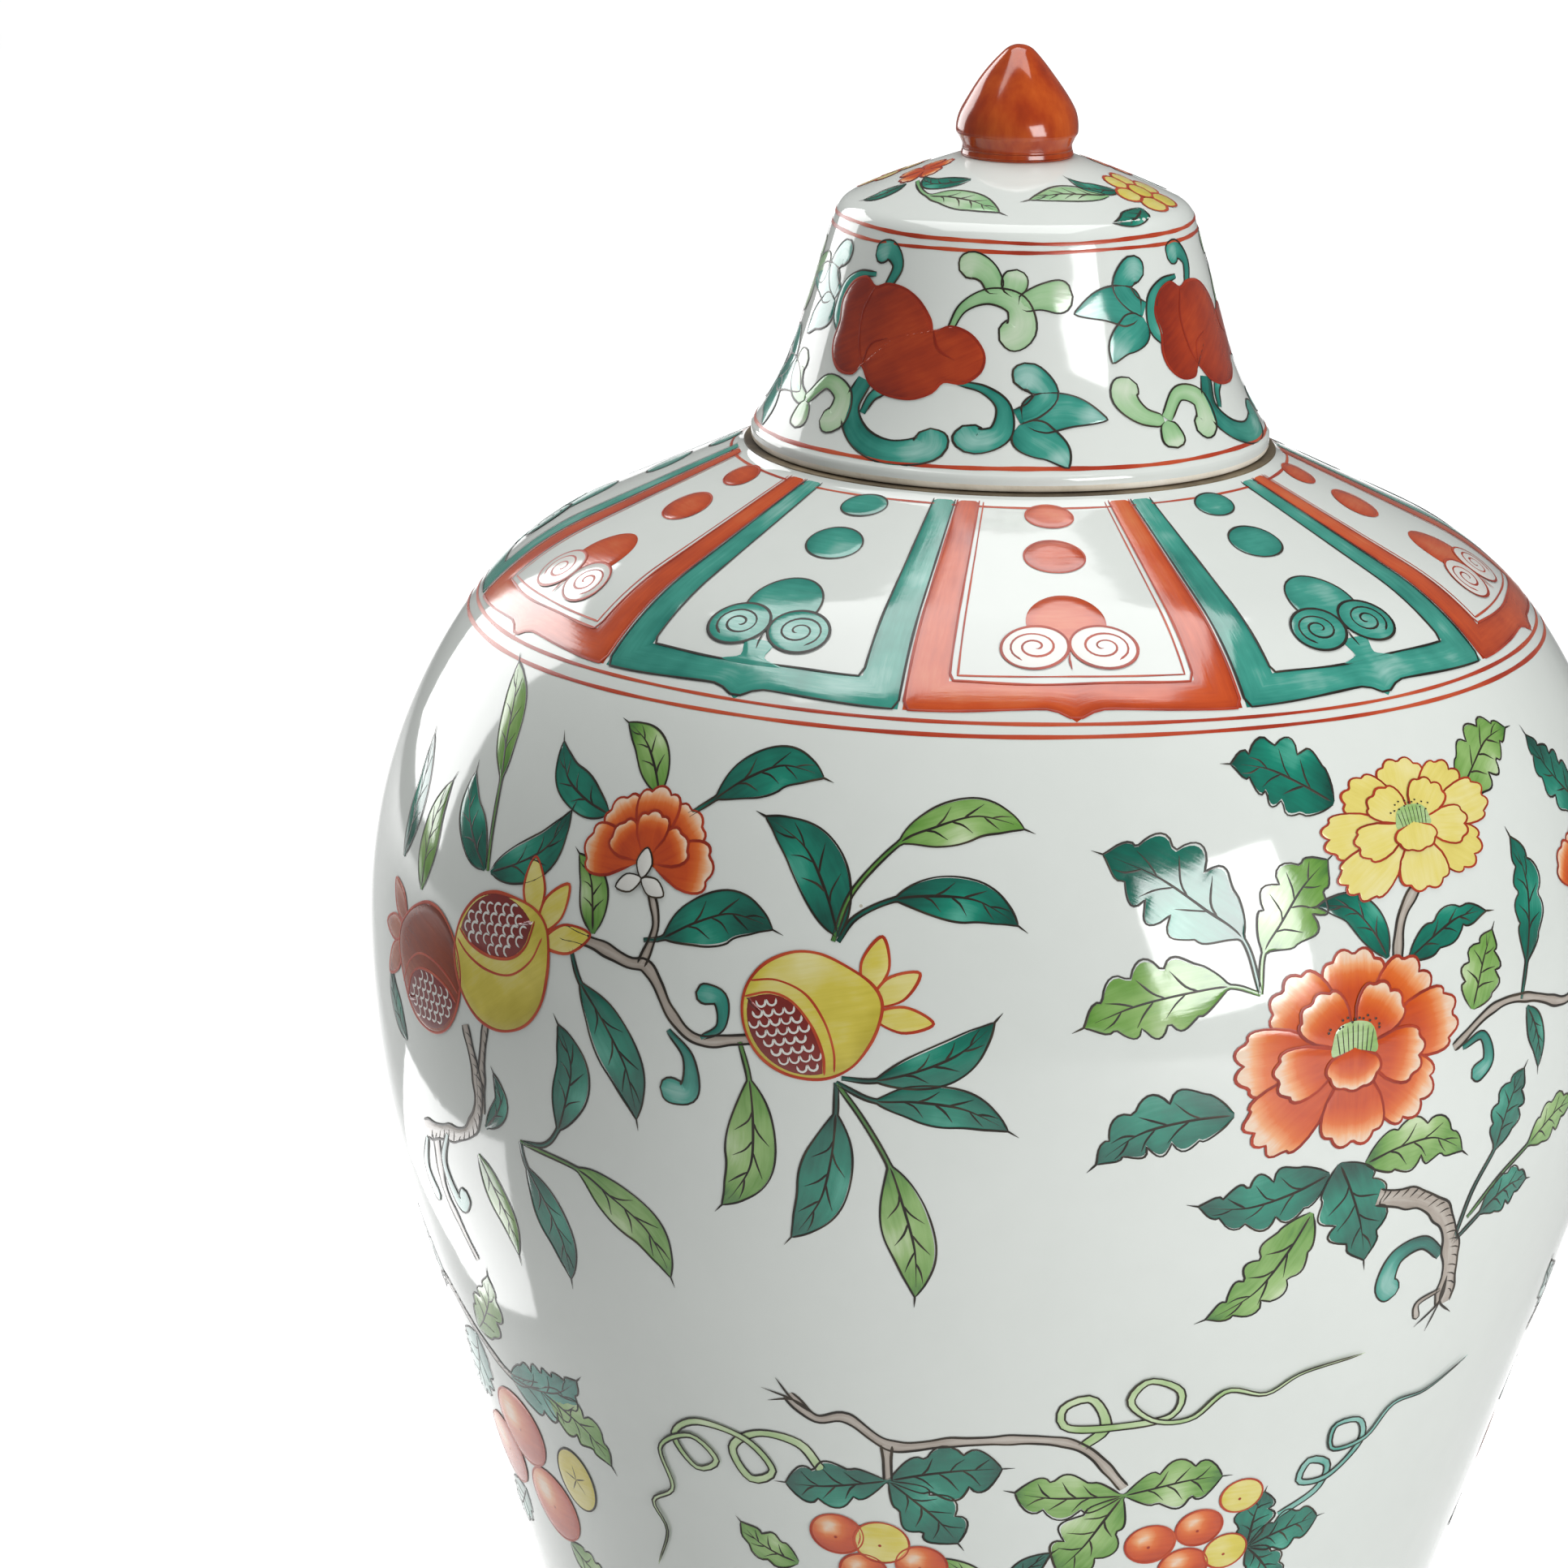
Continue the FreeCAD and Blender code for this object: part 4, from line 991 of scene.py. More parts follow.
def pomegranate_spray(angle):
    """A fruiting pomegranate branch, its paper centred on the belly at this angle."""
    s = Sheet(jar, "jar", angle, *BELLY_PAPER)
    branch(s, [(-24, 17), (-15, 16), (-7, 14), (-3, 14), (0, 11), (3, 6), (7, 2), (11, 1), (16, 2), (21, 3)],
           2.3, 1.7)
    branch(s, [(-4, 14), (-2, 20), (-2, 24), (-5, 31)], 1.5, 1.2)
    branch(s, [(-51, -9), (-48, -18), (-48, -26), (-53, -33), (-63, -36), (-73, -38)], 1.9, 3.4, 0.5, True)
    branch(s, [(-44, -7), (-46, -18), (-47, -27)], 1.5, 2.2, 0.0, True)
    branch(s, [(-68, -38), (-69, -50), (-65, -58), (-61, -65)], 3.0, 1.4, 0.3)
    for points in ([(-62, -36), (-66, -44), (-62, -52), (-58, -48)], [(-73, -40), (-77, -48), (-74, -55)]):
        hook(s, points, 1.2, 4.6, "teal", 1.0)
    leaf(s, (-18, 42), (-37, 54), 9, bend=0.14)
    leaf(s, (-7, 48), (-21, 61), 8.5, "leaf_green", -0.12)
    leaf(s, (6, 49), (29, 56), 11, bend=0.18, stem=[(1, 45)])
    leaf(s, (-16, 18), (-23, 33), 8, "leaf_green", -0.12)
    leaf(s, (0, 20), (23, 25), 12, bend=0.16, stem=[(-4, 19)])
    leaf(s, (-18, 8), (-4, -18), 11, bend=0.10, stem=[(-21, 14)])
    leaf(s, (36, 25), (18, 47), 12, bend=-0.14)
    leaf(s, (46, 44), (71, 48), 10, "leaf_green", 0.15, stem=[(35, 24), (38, 34)])
    leaf(s, (46, 33), (70, 29), 10, bend=0.14, stem=[(36, 24), (39, 29)])
    leaf(s, (44, -3), (66, 10), 9, bend=-0.10, stem=[(38, -3)])
    leaf(s, (44, -7), (69, -12), 9.5, bend=0.10, stem=[(37, -4)])
    leaf(s, (47, -20), (52, -49), 11, "leaf_green", 0.06, stem=[(37, -4), (42, -11)])
    leaf(s, (37, -10), (28, -38), 11.5, bend=0.10, stem=[(37, -4)])
    leaf(s, (20, -5), (14, -33), 11.5, "leaf_green", 0.14, stem=[(18, 2)])
    leaf(s, (-24, -25), (-23, -2), 10, bend=-0.16, stem=[(-34, -30), (-28, -29)])
    leaf(s, (-20, -32), (1, -52), 11, "leaf_green", 0.14, stem=[(-35, -30)])
    leaf(s, (-34, -35), (-26, -59), 10, bend=0.10, stem=[(-35, -30)])
    leaf(s, (-50, -37), (-42, -58), 8, "leaf_green", 0.08)
    leaf(s, (-46, -30), (-42, -17), 5, bend=-0.25, veins=2)
    leaf(s, (-49, 24), (-62, 42), 10, bend=0.12)
    leaf(s, (-47, 24), (-28, 41), 10, bend=-0.14)
    leaf(s, (-52, 42), (-66, 66), 9, "leaf_green", -0.06, stem=[(-48, 24)])
    leaf(s, (-72, 14), (-70, 38), 9, "leaf_green", 0.08)
    leaf(s, (-84, 18), (-88, 44), 8, bend=-0.10)
    leaf(s, (-78, -20), (-86, -6), 7, bend=0.12, veins=3)
    hook(s, [(10, 1.5), (14, 4.5), (13.5, 10), (8.5, 10.5)], 1.0, 4.8)
    hook(s, [(3, 2), (7.5, -3), (7.5, -10), (1.5, -10)], 1.2, 6.4)
    pomegranate(s.sub(-66, -1, 160, 1.04), "plum_red", -93)
    pomegranate(s.sub(-41, 7, 37, 1.12), "yellow", -146)
    pomegranate(s.sub(31, 9, 14), "yellow")
    fan_flower(s.sub(-6.5, 34.6, 0, 0.92))


def peony_spray(angle):
    """A peony branch with an orange bloom below and a yellow one above."""
    s = Sheet(jar, "jar", angle, *BELLY_PAPER)
    branch(s, [(-4, 32), (-10, 25), (-12, 15)], 1.9, 1.9)
    branch(s, [(2, -3), (13, 3), (24, 3), (39, -1), (47, 4)], 1.4, 1.7)
    branch(s, [(-14, -32), (-2, -35), (6, -42), (10, -52), (11, -62)], 3.6, 4.2, 0.4, True)
    for end in ((4, -66), (8, -68), (15, -65)):
        stroke(s, "ink", [(10, -55), (10, -61), end], 0.5, 1.6)
    hook(s, [(9, -58), (3, -60), (4, -64)], 0.8, 1.8, "bark", 0.6)
    hook(s, [(6, -49), (0, -45), (-6.5, -47), (-8, -53), (-4.5, -56)], 2.4, 6.0, "teal")
    leaf(s, (-21, 50), (-43, 60), 15, bend=-0.08, lobes=5)
    leaf(s, (13, 47), (37, 57), 12, "leaf_green", 0.10, lobes=5)
    leaf(s, (58, 36), (44, 54), 12, bend=0.10, lobes=5)
    leaf(s, (-45, 25), (-72, 43), 18, bend=-0.06, lobes=5, stem=[(-42, 14)])
    leaf(s, (-41, 22), (-25, 39), 14, "leaf_green", 0.06, lobes=4, stem=[(-42, 14)])
    leaf(s, (-48, 16), (-76, 9), 15, "leaf_green", -0.06, lobes=5, stem=[(-42, 14)])
    leaf(s, (-14, 18), (-29, 30), 8, bend=-0.20, veins=3)
    leaf(s, (-9, 17), (13, 23), 7, bend=0.10, lobes=3, veins=3)
    leaf(s, (24, 10), (25, 36), 9.5, bend=-0.10, lobes=4, stem=[(22, 3)])
    leaf(s, (7, 4), (14, 19), 11, "leaf_green", 0.04, lobes=4)
    leaf(s, (24, 1), (29, -13), 6, bend=0.10, veins=3)
    hook(s, [(4.5, -3.5), (10, -2), (12, -7.5), (7.5, -10.5)], 1.2, 4.6)
    leaf(s, (17, -28), (24, -12), 10, bend=0.06, lobes=4, stem=[(9, -47), (12, -36)])
    leaf(s, (29, -30), (46, -25), 9, "leaf_green", 0.10, lobes=4, stem=[(12, -42), (20, -35)])
    leaf(s, (16, -42), (31, -38), 9, bend=0.12, lobes=4, stem=[(9, -47)])
    leaf(s, (-47, -10), (-73, -19), 12.5, bend=-0.12, lobes=5)
    leaf(s, (-26, -25), (-53, -29), 12, bend=0.10, lobes=5)
    leaf(s, (-24, -23), (-15, -46), 15, bend=0.04, lobes=4)
    leaf(s, (-29, -33), (-49, -55), 11.5, "leaf_green", 0.12, lobes=5)
    leaf(s, (-18, -24), (7, -26), 11, "leaf_green", 0.16, lobes=4)
    leaf(s, (47, 4), (62, -8), 9, bend=0.12, lobes=4)
    peony(s.sub(-22.5, 1.0), "petal_red")
    peony(s.sub(-2.6, 43.6, 0, 0.67, stretch=1.38), "straw")
    fan_flower(s.sub(51, 20, -40, 0.8))


def vine_cluster(angle):
    """A fruiting vine for the lower wall: root, curling tendrils, broad leaves and berries."""
    s = Sheet(jar, "jar", angle, *LOWER_PAPER)
    branch(s, [(-36, 44), (-31, 39), (-25, 40), (-17, 34), (-5, 36), (10, 37), (19, 34), (27, 24)], 2.0, 1.8)
    branch(s, [(-18, 34), (-18, 25)], 1.6, 1.3)
    for end in ((-41, 45), (-40, 42), (-38, 48)):
        stroke(s, "ink", [(-31, 40), (-35, 43), end], 0.45, 1.3)
    left_curl = [(-31, 26), (-35, 32), (-43, 33), (-49, 28), (-46, 21), (-41, 24), (-46, 31), (-56, 33),
                 (-62, 28), (-58, 21), (-53, 24), (-58, 29), (-66, 24), (-65, 14), (-71, 9), (-69, 2),
                 (-74, -8)]
    top_curl = [(18, 35), (22, 40), (19, 47), (14, 45), (15, 40), (25, 40), (34, 42), (35, 48), (29, 51),
                (26, 46), (31, 41), (38, 41), (44, 47), (52, 45), (59, 49), (72, 51)]
    right_curl = [(62, 12), (70, 17), (71, 23), (66, 25), (65, 20), (72, 20), (78, 27), (76, 33), (70, 33),
                  (71, 27), (79, 28), (84, 35), (93, 36), (104, 41)]
    tendril(s, left_curl, "leaf_green", 1.8)
    tendril(s, top_curl, "leaf_green", 1.8)
    tendril(s, right_curl, "teal", 1.6)
    red, gold = "petal_red", "yellow"
    for x, y, size, colour in (
        (-29, 10, 5.2, red), (-12, 4, 5.0, red), (-24, 1, 4.8, red), (-20, 9, 5.4, gold),
        (-17, -6, 4.6, gold), (-28, -8, 4.6, red), (44, 12, 4.8, red), (34, 9, 5.0, red),
        (42, 2, 5.2, red), (52, 19, 4.4, gold), (51, 5, 4.6, gold), (36, -3, 4.6, gold),
        (46, -7, 4.6, red), (-22, -15, 4.2, red), (40, -14, 4.2, red),
    ):
        berry(s, x, y, size, colour)
    lobed_leaf(s, -18, 25, ((190, 21, 11), (12, 22, 13), (-48, 20, 12)), "deep_green")
    lobed_leaf(s, 27, 22, ((176, 21, 11), (8, 20, 12), (238, 22, 13)), "leaf_green")
    lobed_leaf(s, 56, 5, ((85, 14, 9), (15, 17, 10), (-50, 15, 9)), "deep_green")
    leaf(s, (-38, 1), (-50, 9), 8, "leaf_green", 0.12, lobes=3)
    leaf(s, (5, -6), (14, 8), 7, bend=0.1, veins=3)
    leaf(s, (2, -8), (-8, 6), 7, "leaf_green", -0.1, veins=3)
    stroke(s, "ink", [(3, -10), (10, -20), (24, -22), (36, -16)], 0.5, 0.8)
    stroke(s, "ink", [(3, -10), (-8, -20), (-20, -18)], 0.5, 0.8)
    fan_flower(s.sub(3, -10, 180, 0.6))


def peach_cluster(angle):
    """Fruit with serrated leaves and a cut yellow disc, between the vines."""
    s = Sheet(jar, "jar", angle, *LOWER_PAPER)
    branch(s, [(-30, 34), (-18, 40), (-4, 32), (8, 26), (20, 28)], 2.2, 1.4, hatch=True)
    leaf(s, (-6, 31), (-24, 14), 14, "teal", 0.10, lobes=6)
    leaf(s, (8, 26), (34, 34), 13, "teal", -0.12, lobes=6)
    leaf(s, (20, 27), (38, 14), 11, "leaf_green", 0.12, lobes=4)
    leaf(s, (-18, 39), (-34, 52), 10, bend=0.12, lobes=4)
    leaf(s, (-2, 34), (12, 52), 10, "leaf_green", -0.10, lobes=4)
    for x, y, size in ((4, 12, 9.5), (-10, 2, 8.6), (10, -5, 9.0)):
        berry(s, x, y, size, "petal_red")
    disc = ellipse(24, 6, 6.0, 7.6)
    blob(s, "yellow", disc, 1.2, 0.4)
    stroke(s, "ink", disc, 0.45, 2.1, closed=True, curved=False)
    for k in range(5):
        tip = polar((24, 6), 3.6, 90 + 72 * k)
        stroke(s, "ink", [(24, 6), tip], 0.42, 2.1, (0.4, 1.4))
    leaf(s, (-8, -8), (-26, -16), 10, bend=0.10, lobes=4)
    leaf(s, (12, -14), (28, -20), 9, "leaf_green", -0.10, lobes=4)


for turn in (0, 180):
    pomegranate_spray(-30 + turn)
    peony_spray(42 + turn)
for angle in (0, 165):
    vine_cluster(angle)
for angle in (-63, 90, 247):
    peach_cluster(angle)


# ---------------------------------------------------------------- the lid's painting


def cloud_blossom(s, x, y):
    """The lid's big iron-red flower: a cloud of lobes with darker lines between them."""
    p = s.sub(x, y)
    lobes = [(-17, 1), (-17.8, 5.6), (-15.6, 9.6), (-11.6, 11.2), (-8.4, 9.6), (-5.2, 10.6), (-0.6, 10.2),
             (3.4, 8.0), (6.4, 4.4), (7.4, 2.0), (11, 3.4), (15.2, 2.0), (18, -1.6), (17.6, -5.4),
             (14.4, -8.0), (10.6, -8.0), (8.6, -10.4), (4.6, -12.2), (-0.6, -12.0), (-4.6, -10.2),
             (-7.6, -6.8), (-9.4, -8.8), (-13.2, -8.8), (-16.2, -6.4), (-17.4, -3)]
    edge = smooth(lobes, True)

    def wash(points, shares):
        return np.clip(0.74 + 0.2 * shares**4 - 0.006 * points[:, 0], 0, 1)

    blob(p, "iron_red", edge, 0.6, wash, (-1, 0), 0.12, 0.5)
    stroke(p, "red_line", edge, 0.55, 1.6, closed=True, curved=False, tone=0.9)
    for points in ([(-8.6, 9.4), (-10.4, 4), (-9.6, -2), (-7.8, -6.4)],
                   [(-7.5, -6.4), (-6.4, -2.2), (-2.6, -0.4)],
                   [(7.4, 2.2), (8.8, -1.4), (12.4, -3.4)]):
        stroke(p, "red_line", points, 0.5, 2.2, tone=1.0)


def scroll_sprig(s, x, y, turn=0.0, mirror=False):
    """A teal scroll: a fat curl, two rounded lobes and two pointed leaves."""
    p = s.sub(x, y, turn, 1.0, mirror)
    swash(p, "teal", [(-12, 6.5), (-7, 5.4), (-3.4, 2.0), (-3.8, -3.6), (-8, -5.4), (-10.4, -2.4)],
          1.0, 6.8, 0.4, tone=0.35)
    swash(p, "teal", [(-1, 0), (2.2, 1.6), (4.4, 5.0), (1.4, 8.2), (-1.6, 7.2)], 3.2, 6.8, 0.6, tone=0.3)
    swash(p, "teal", [(0, -0.6), (4, 0.8), (9, 1.0), (15.4, -1.0)], 8.6, 0.4, 0.4, tone=0.25, swell=2.6,
          round_start=True)
    swash(p, "teal", [(-0.6, -1.8), (2.0, -4.4), (5.4, -7.2), (7.4, -11)], 8.0, 0.4, 0.5, tone=0.25,
          swell=2.6, round_start=True)


def lobe_sprig(s, x, y):
    """The light green scroll: a fat curl with two rounded lobes and a side leaf."""
    p = s.sub(x, y)
    swash(p, "mint", [(-11, -5.5), (-8.4, 0.0), (-3, 2.6), (2.6, 1.0), (3.6, -4.0), (-0.6, -6.4)],
          1.2, 7.8, 0.4, tone=0.3)
    swash(p, "mint", [(3, 1.0), (8, 2.6), (14.4, 2.6)], 3.6, 9.2, 0.3, tone=0.3, round_start=True)
    swash(p, "mint", [(1.6, 2.6), (2.6, 8.2)], 4.8, 7.4, 0.2, tone=0.3, round_start=True)
    swash(p, "mint", [(-1.4, 3.2), (-3.6, 7.2), (-7.0, 8.8), (-10, 7.6)], 4.0, 6.4, 0.2, tone=0.3,
          round_start=True)


def tri_sprig(s, x, y):
    """Three small rounded leaves from one point."""
    p = s.sub(x, y)
    swash(p, "mint", [(-0.6, -0.5), (-5.2, 1.4), (-8, 5.4), (-6.6, 9.4)], 2.8, 7.2, 0.4, tone=0.3,
          round_start=True)
    swash(p, "mint", [(0, 0), (4.4, 4.8), (9.6, 3.0), (9.8, -2), (6.4, -3.6)], 2.4, 6.4, 0.5, tone=0.3)
    swash(p, "mint", [(0, -0.4), (0.6, -6.4)], 3.6, 6.8, 0.3, tone=0.3, round_start=True)


SKIRT_PAPER = (0, 0.73)
CROWN_PAPER = (66, 0.50)
for angle in (-32, 68, 158, 240):
    s = Sheet(lid, "lid", angle, *SKIRT_PAPER)
    hook(s, [(-5.5, 41), (-3.5, 46), (-6.5, 49), (-10.5, 47.4)], 1.8, 5.6)
    hook(s, [(-6, 22), (-7.5, 15.5), (-3.5, 10), (3, 7.6), (9.5, 9.4), (9.6, 13.6)], 3.6, 6.6)
    cloud_blossom(s, 0, 31.5)
    hook(s, [(-4.5, 15), (-3.4, 18.6), (-1.0, 20.8)], 1.4, 2.6)
    scroll_sprig(s, 25.5, 17)
    lobe_sprig(s, 21.5, 39)
    tri_sprig(s, -20, 15)
    scroll_sprig(s, -21.5, 38, -4, mirror=True)
for height, width in ((366.1, 0.9), (408.1, 0.75), (410.2, 0.8)):
    ring(lid, "lid", height, width)

for turn in (0, 180):
    c = Sheet(lid, "lid", 20 + turn, *CROWN_PAPER)
    leaf(c, (18, 2), (7, 9), 5, bend=0.15, veins=3)
    leaf(c, (13, 1.0), (-7, 1), 7, "mint", -0.10, veins=4)
    leaf(c, (17, -5), (7, -9), 6, bend=0.12, veins=3)
    flower = c.sub(25, 0, 0, 1.3)
    for k in range(6):
        x, y = polar((0, 0), 4.3, 60 * k)
        disc = ellipse(x, y, 2.5, 2.2)
        blob(flower, "yellow", disc, 0.5, 0.35)
        stroke(flower, "red_line", disc, 0.45, 1.4, closed=True, curved=False)
    blob(flower, "yellow", ellipse(0, 0, 2.3, 2.2), 1.5, 0.5)
    stroke(flower, "red_line", ellipse(0, 0, 2.3, 2.2), 0.45, 2.4, closed=True, curved=False)
    leaf(c, (-24, 8), (-40, 6), 5.5, bend=0.15, veins=3)
    leaf(c, (-42, 2), (-45, -7), 5, bend=0.12, veins=3)
    leaf(c, (-31, 0), (-13, -4), 8, "mint", 0.12, veins=4, stem=[(-40, 4)])
    for k in range(5):
        petal(c.sub(-46, 8), (0, 0), 72 * k, 6, 34, 3, "petal_red", 0.4)


# ---------------------------------------------------------------- porcelain


JAR_SEGMENTS, LID_SEGMENTS, BUD_SEGMENTS = 264, 256, 96

# the painted outlines, thinned for the porcelain's own mesh
lathe_outside = resample(jar_outside[::5], 2.6)
foot = rounded(
    [(0, RECESS, 0), (FOOT_INSIDE, RECESS, 3), (FOOT_INSIDE, 0, 1.4), (FOOT, 0, 1.4), (FOOT, 3, 0)], 3.5
)
inner_waist = arc(waist_centre, WAIST_ARC + WALL, 180 + taper, 180 + 1, 5)
inner_low = arc(lower_centre, LOWER_ARC - WALL, 0, taper, 7)
inner_up = arc(upper_centre, UPPER_ARC - WALL, UPPER_TURN, 0, 6)
inner_shoulder = arc(shoulder_centre, SHOULDER_ARC - WALL, SLOPE, UPPER_TURN, 5)
CEILING = SEAT - SEAT_THICKNESS
inside_wall = np.vstack([inner_shoulder, inner_up[1:], inner_low[1:], inner_waist[1:]])
neck = rounded(
    [(SEAT_RADIUS, step_foot, 0), (SEAT_RADIUS, SEAT, 0.35), (COLLAR, SEAT, 0.8),
     (COLLAR, SEAT + COLLAR_HEIGHT, 1.6), (MOUTH, SEAT + COLLAR_HEIGHT, 1.6), (MOUTH, CEILING, 1.2),
     (56, CEILING, 0.8), (*inside_wall[0], 0)],
    3.0,
)
inside_floor = rounded([(*inside_wall[-1], 0), (FLOOR_RADIUS, FLOOR, 9), (0, FLOOR, 0)], 6)
section = np.vstack([foot[:-1], lathe_outside, neck[1:], inside_wall[1:], inside_floor[1:]])


# the third slot is painted shadow: faces coloured near-black for the gap between the lid and the jar
GLAZED, BARE, GAP_SHADOW = range(3)


def jar_slot(r, z):
    """The foot ring's ground, the lid's seat and the collar's lip are bare, and the seat's edge is painted
    near-black as the shadow in the gap under the lid.
    """
    if SEAT - 0.7 < z < SEAT + 0.4 and r > 52:
        return GAP_SHADOW
    on_seat = SEAT - 0.45 < z < SEAT + 0.4 and r > COLLAR + 1.5
    return BARE if on_seat or (z < 1.2 and r > 66) or z > SEAT + COLLAR_HEIGHT - 0.8 else GLAZED


def section_throwing(angle, height):
    """Only the outside of the jar's section is uneven."""
    index = np.arange(len(height))[:, None]
    outer = (index >= len(foot) - 2) & (index < len(foot) - 2 + len(lathe_outside))
    return np.where(outer, jar_throwing(angle, height), 0.0)


jar_finishes = [glaze_white, bare, gap_shadow]
body = lathe("jar_porcelain", section, JAR_SEGMENTS, section_throwing, jar_finishes, jar_slot)
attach(body, "jar")
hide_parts("jar_lower_section", "jar_upper_section", "jar_collar")

lid_inner_flare = arc(flare_centre, flare_arc + LID_WALL, 180 + SKIRT, 180 + 20.8, 2)
inner_foot = lid_inner_flare[0]
inner_edge_height = SEAT + CROWN_EDGE - LID_WALL
inner_edge = (inner_foot[0] - (inner_edge_height - inner_foot[1]) * skirt_slope, inner_edge_height)
while lid_inner_flare[-1][1] > SEAT + 0.5:
    drop = (flare_centre[1] - lid_inner_flare[-1][1]) / (flare_arc + LID_WALL)
    further = polar(flare_centre, flare_arc + LID_WALL, 180 + (math.degrees(math.asin(drop)) + 1))
    lid_inner_flare = np.vstack([lid_inner_flare, [further]])
under = rounded(
    [(0, SEAT + LID_HEIGHT - LID_TOP, 0), (18, SEAT + LID_HEIGHT - LID_TOP, 2), (*inner_edge, 3)]
    + [(r, z, 0) for r, z in lid_inner_flare[:-1]]
    + [(50.6, SEAT, 0.8), (RIM, SEAT, 1.6), (RIM, SEAT + RIM_BAND, 0)],
    1.6,
)
lid_lathe = resample(lid_outside[::2], 1.1)
lid_lathe = lid_lathe[lid_lathe[:, 1] > SEAT + RIM_BAND]
lid_section = np.vstack([under, lid_lathe[:-1], [(0, SEAT + LID_HEIGHT)]])


def lid_slot(r, z):
    """The rim's ground is unglazed, and its lowest edge is painted near-black as the shadow in the gap over
    the seat.
    """
    if z < SEAT + 0.35:
        return GAP_SHADOW
    return BARE if z < SEAT + 1.7 else GLAZED


def lid_section_throwing(angle, height):
    """Only the outside of the lid's section is uneven."""
    index = np.arange(len(height))[:, None]
    return np.where(index >= len(under) - 1, lid_throwing(angle, height), 0.0)


lid_finishes = [glaze_white, lid_ground, gap_shadow]
cover = lathe("lid_porcelain", lid_section, LID_SEGMENTS, lid_section_throwing, lid_finishes, lid_slot)
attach(cover, "lid")
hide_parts("lid_cover")


def bud_throwing(angle, height):
    """The bud was modelled by hand, so it isn't quite round."""
    return 0.10 * np.sin(3 * angle + height / 2)


def bud_enamel():
    """The finial's iron red, darker in upright streaks and in patches."""
    f = Finish("finial_enamel", IOR=1.65)
    where = f.place()
    streak = f.noise(where, 150, 4, (1.0, 1.0, 0.30), 0.6)
    patch = f.noise(where, 45, 3)
    mix = f.math("MULTIPLY_ADD", streak, 0.7, f.math("MULTIPLY", patch, 0.5))
    stops = [(0.36, (0.60, 0.16, 0.03)), (0.50, (0.50, 0.080, 0.008)),
             (0.66, (0.36, 0.038, 0.003)), (0.82, (0.22, 0.018, 0.002))]
    f.feed(f.shader, "Base Color", f.ramp(mix, stops))
    f.feed(f.shader, "Roughness", f.math("MULTIPLY_ADD", streak, 0.12, 0.06))
    f.bump(streak, 0.15, 0.15)
    return f.material


bud = lathe("finial", finial_outline, BUD_SEGMENTS, bud_throwing, [bud_enamel()], lambda r, z: GLAZED)
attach(bud, "lid")
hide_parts("lid_finial")

for bucket in paints.values():
    thing = bucket.finish_mesh()


# ---------------------------------------------------------------- stage, light and camera


def lit_floor():
    """A pale floor that glows white behind the jar, with a patch of painted shade, dark in its colour, that
    the jar's left side mirrors.
    """
    steps = np.linspace(-4.5, 4.5, 181)
    x, y = np.meshgrid(steps, steps + 1.8)
    behind = np.clip((y + 0.1) / 0.5, 0, 1)
    beside = np.clip((0.30 + 0.12 * y - np.abs(x + 0.05 + 0.03 * y)) / 0.15, 0, 1)
    faces = grid_faces(len(steps), len(steps))
    mesh = bpy.data.meshes.new("floor")
    mesh.from_pydata(np.stack([x, y, 0 * x], -1).reshape(-1, 3).tolist(), [], faces.tolist())
    # painted shade: the floor's colour goes dark here, standing in for shade that the jar's left side mirrors
    dim = np.exp(-((((x + 1.15) / 0.55) ** 2 + ((y - 0.45) / 0.8) ** 2) ** 1.5))
    for name, value in (("glow", behind * beside), ("dim", dim)):
        spots = mesh.attributes.new(name, "FLOAT", "POINT")
        spots.data.foreach_set("value", value.reshape(-1).astype(np.float32))
    paper = Finish("floor_paper", Roughness=0.7, Emission_Color=(1, 1, 1, 1))
    shades = [(0, (0.78, 0.78, 0.78)), (1, (0.12, 0.12, 0.13))]
    paper.feed(paper.shader, "Base Color", paper.ramp(paper.attribute("dim", "Fac"), shades))
    paper.feed(paper.shader, "Emission Strength", paper.attribute("glow", "Fac"))
    mesh.materials.append(paper.material)
    floor = bpy.data.objects.new("floor", mesh)
    bpy.context.collection.objects.link(floor)
    return floor


lit_floor()


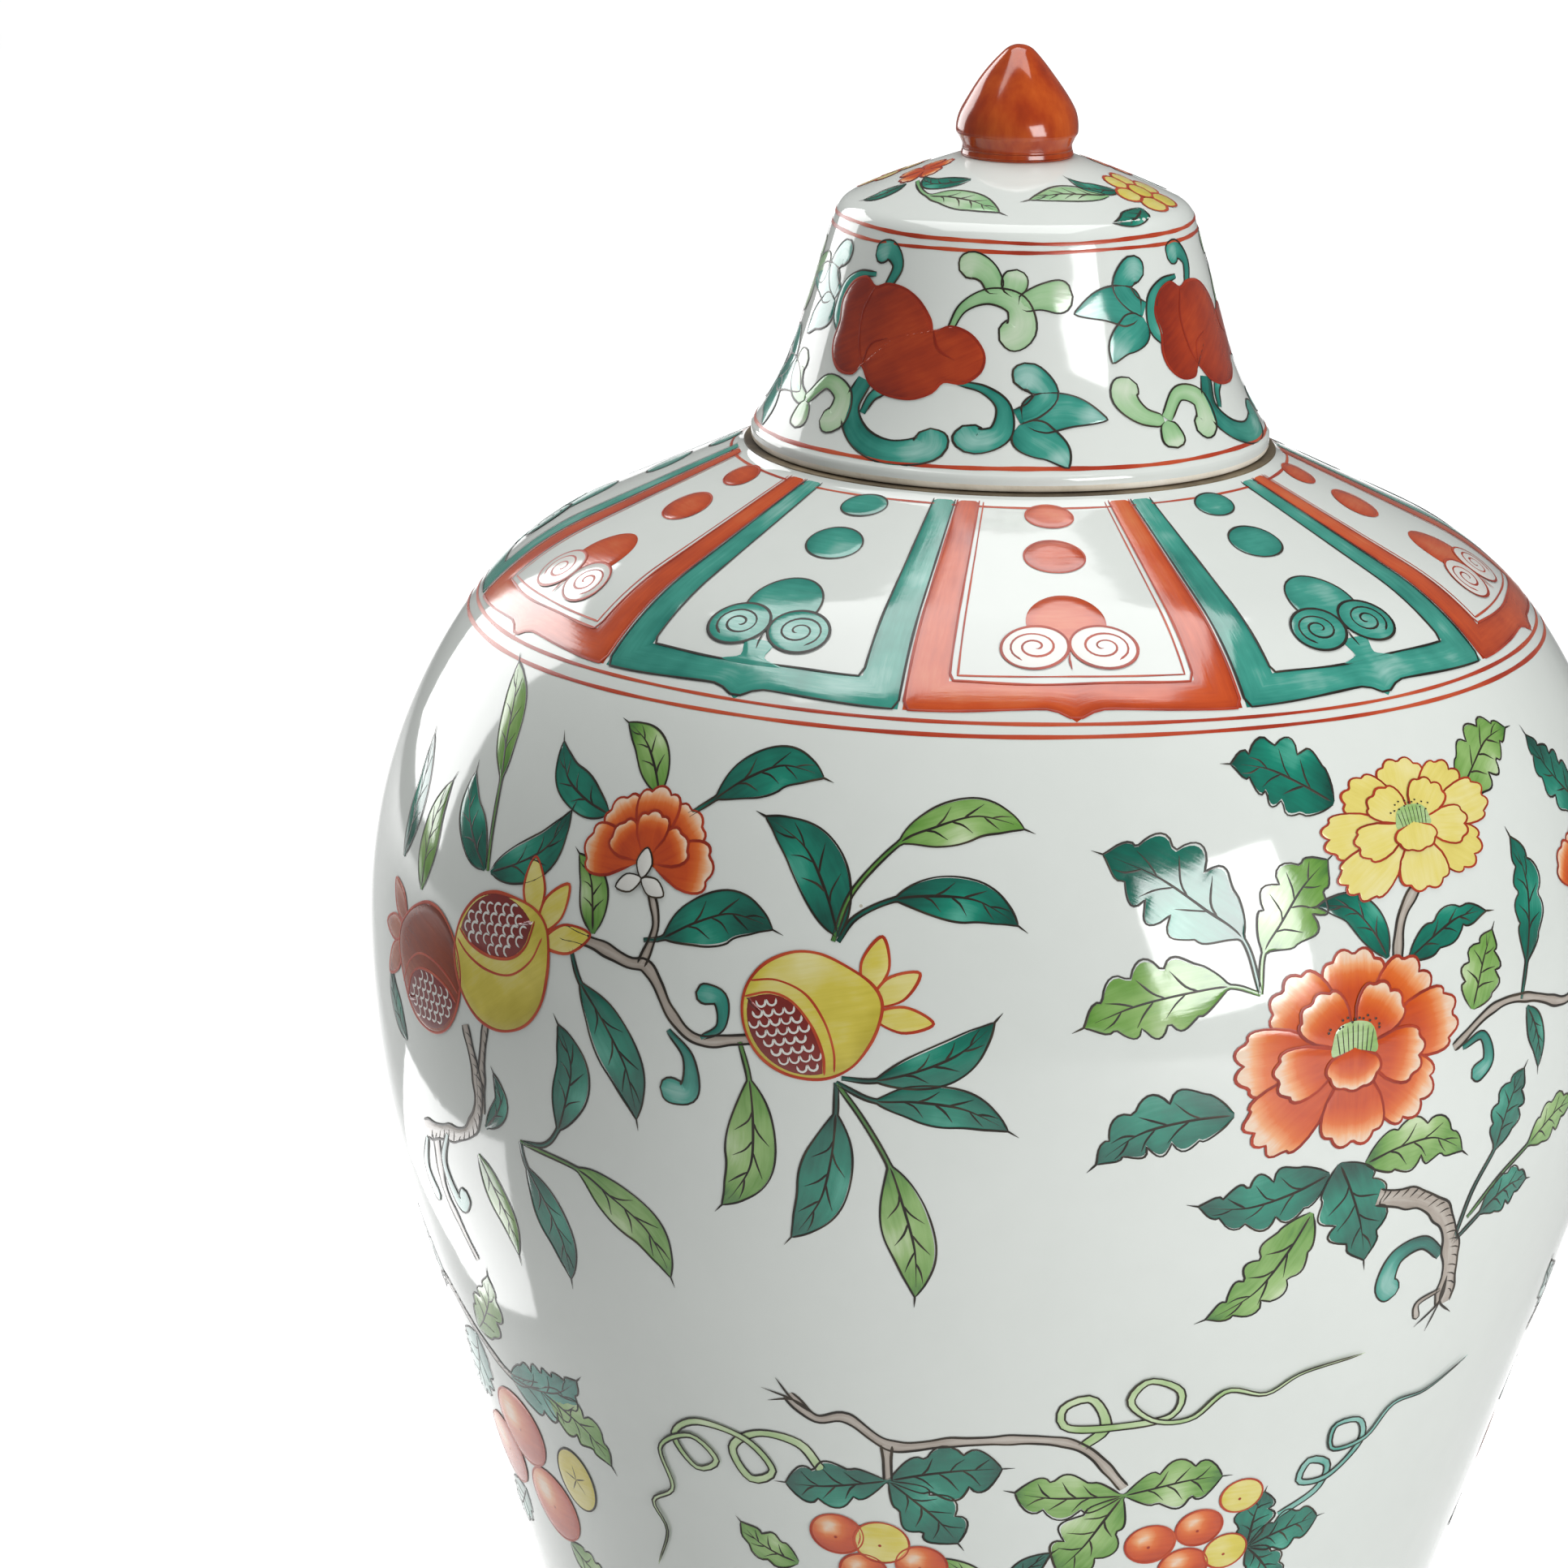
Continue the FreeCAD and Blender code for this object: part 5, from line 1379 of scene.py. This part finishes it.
def softbox(name, place, target, width, height, radiance, roll=0.0):
    """A soft studio light of a given radiance, aimed at a point."""
    data = bpy.data.lights.new(name, "AREA")
    data.shape = "RECTANGLE"
    data.size, data.size_y = width, height
    data.energy = radiance * math.pi * width * height
    light = bpy.data.objects.new(name, data)
    light.location = place
    aim = (Vector(target) - Vector(place)).to_track_quat("-Z", "Y")
    light.rotation_mode = "QUATERNION"
    light.rotation_quaternion = aim @ Matrix.Rotation(math.radians(roll), 3, "Z").to_quaternion()
    bpy.context.collection.objects.link(light)


MIDDLE = (0, 0, 0.28)


def around(azimuth, elevation, distance):
    """A place seen from the jar's belly: azimuth 0 towards the camera, growing to its right."""
    a, e = math.radians(azimuth), math.radians(elevation)
    across = distance * math.cos(e)
    return (across * math.sin(a), -across * math.cos(a), MIDDLE[2] + distance * math.sin(e))


softbox("window", around(40, 11.5, 1.5), MIDDLE, 0.74, 0.76, 8.2, 8)
softbox("overhead", (-0.10, 0.10, 1.55), (-0.10, 0.10, 0), 1.32, 1.02, 3.2)
softbox("left_window", around(-134, 15, 2.3), MIDDLE, 1.25, 1.45, 4.4)
softbox("table_left", (-0.43, 0.25, 0.004), (-0.43, 0.25, 1), 0.22, 0.42, 2.9)

world = bpy.data.worlds.new("studio")
bpy.context.scene.world = world
world.use_nodes = True
world.node_tree.nodes["Background"].inputs["Color"].default_value = (1, 1, 1, 1)
world.node_tree.nodes["Background"].inputs["Strength"].default_value = 0.18

CAMERA_PLACE = (0, -1.4, 0.6411)
YAW, PITCH, ROLL = -1.90, 14.25, 0.99
camera = bpy.data.objects.new("camera", bpy.data.cameras.new("camera"))
bpy.context.collection.objects.link(camera)
bpy.context.scene.camera = camera
yaw, pitch, roll = (math.radians(turn) for turn in (YAW, PITCH, ROLL))
forward = Vector((math.sin(yaw) * math.cos(pitch), math.cos(yaw) * math.cos(pitch), -math.sin(pitch)))
level = Vector((math.cos(yaw), -math.sin(yaw), 0))
upright = level.cross(forward)
right = level * math.cos(roll) + upright * math.sin(roll)
top = upright * math.cos(roll) - level * math.sin(roll)
facing = Matrix((right, top, -forward)).transposed()
camera.matrix_world = Matrix.Translation(CAMERA_PLACE) @ facing.to_4x4()
camera.data.sensor_width = 36
camera.data.lens = 154.8
camera.data.clip_start, camera.data.clip_end = 0.05, 30
bpy.context.scene.view_settings.view_transform = "Standard"
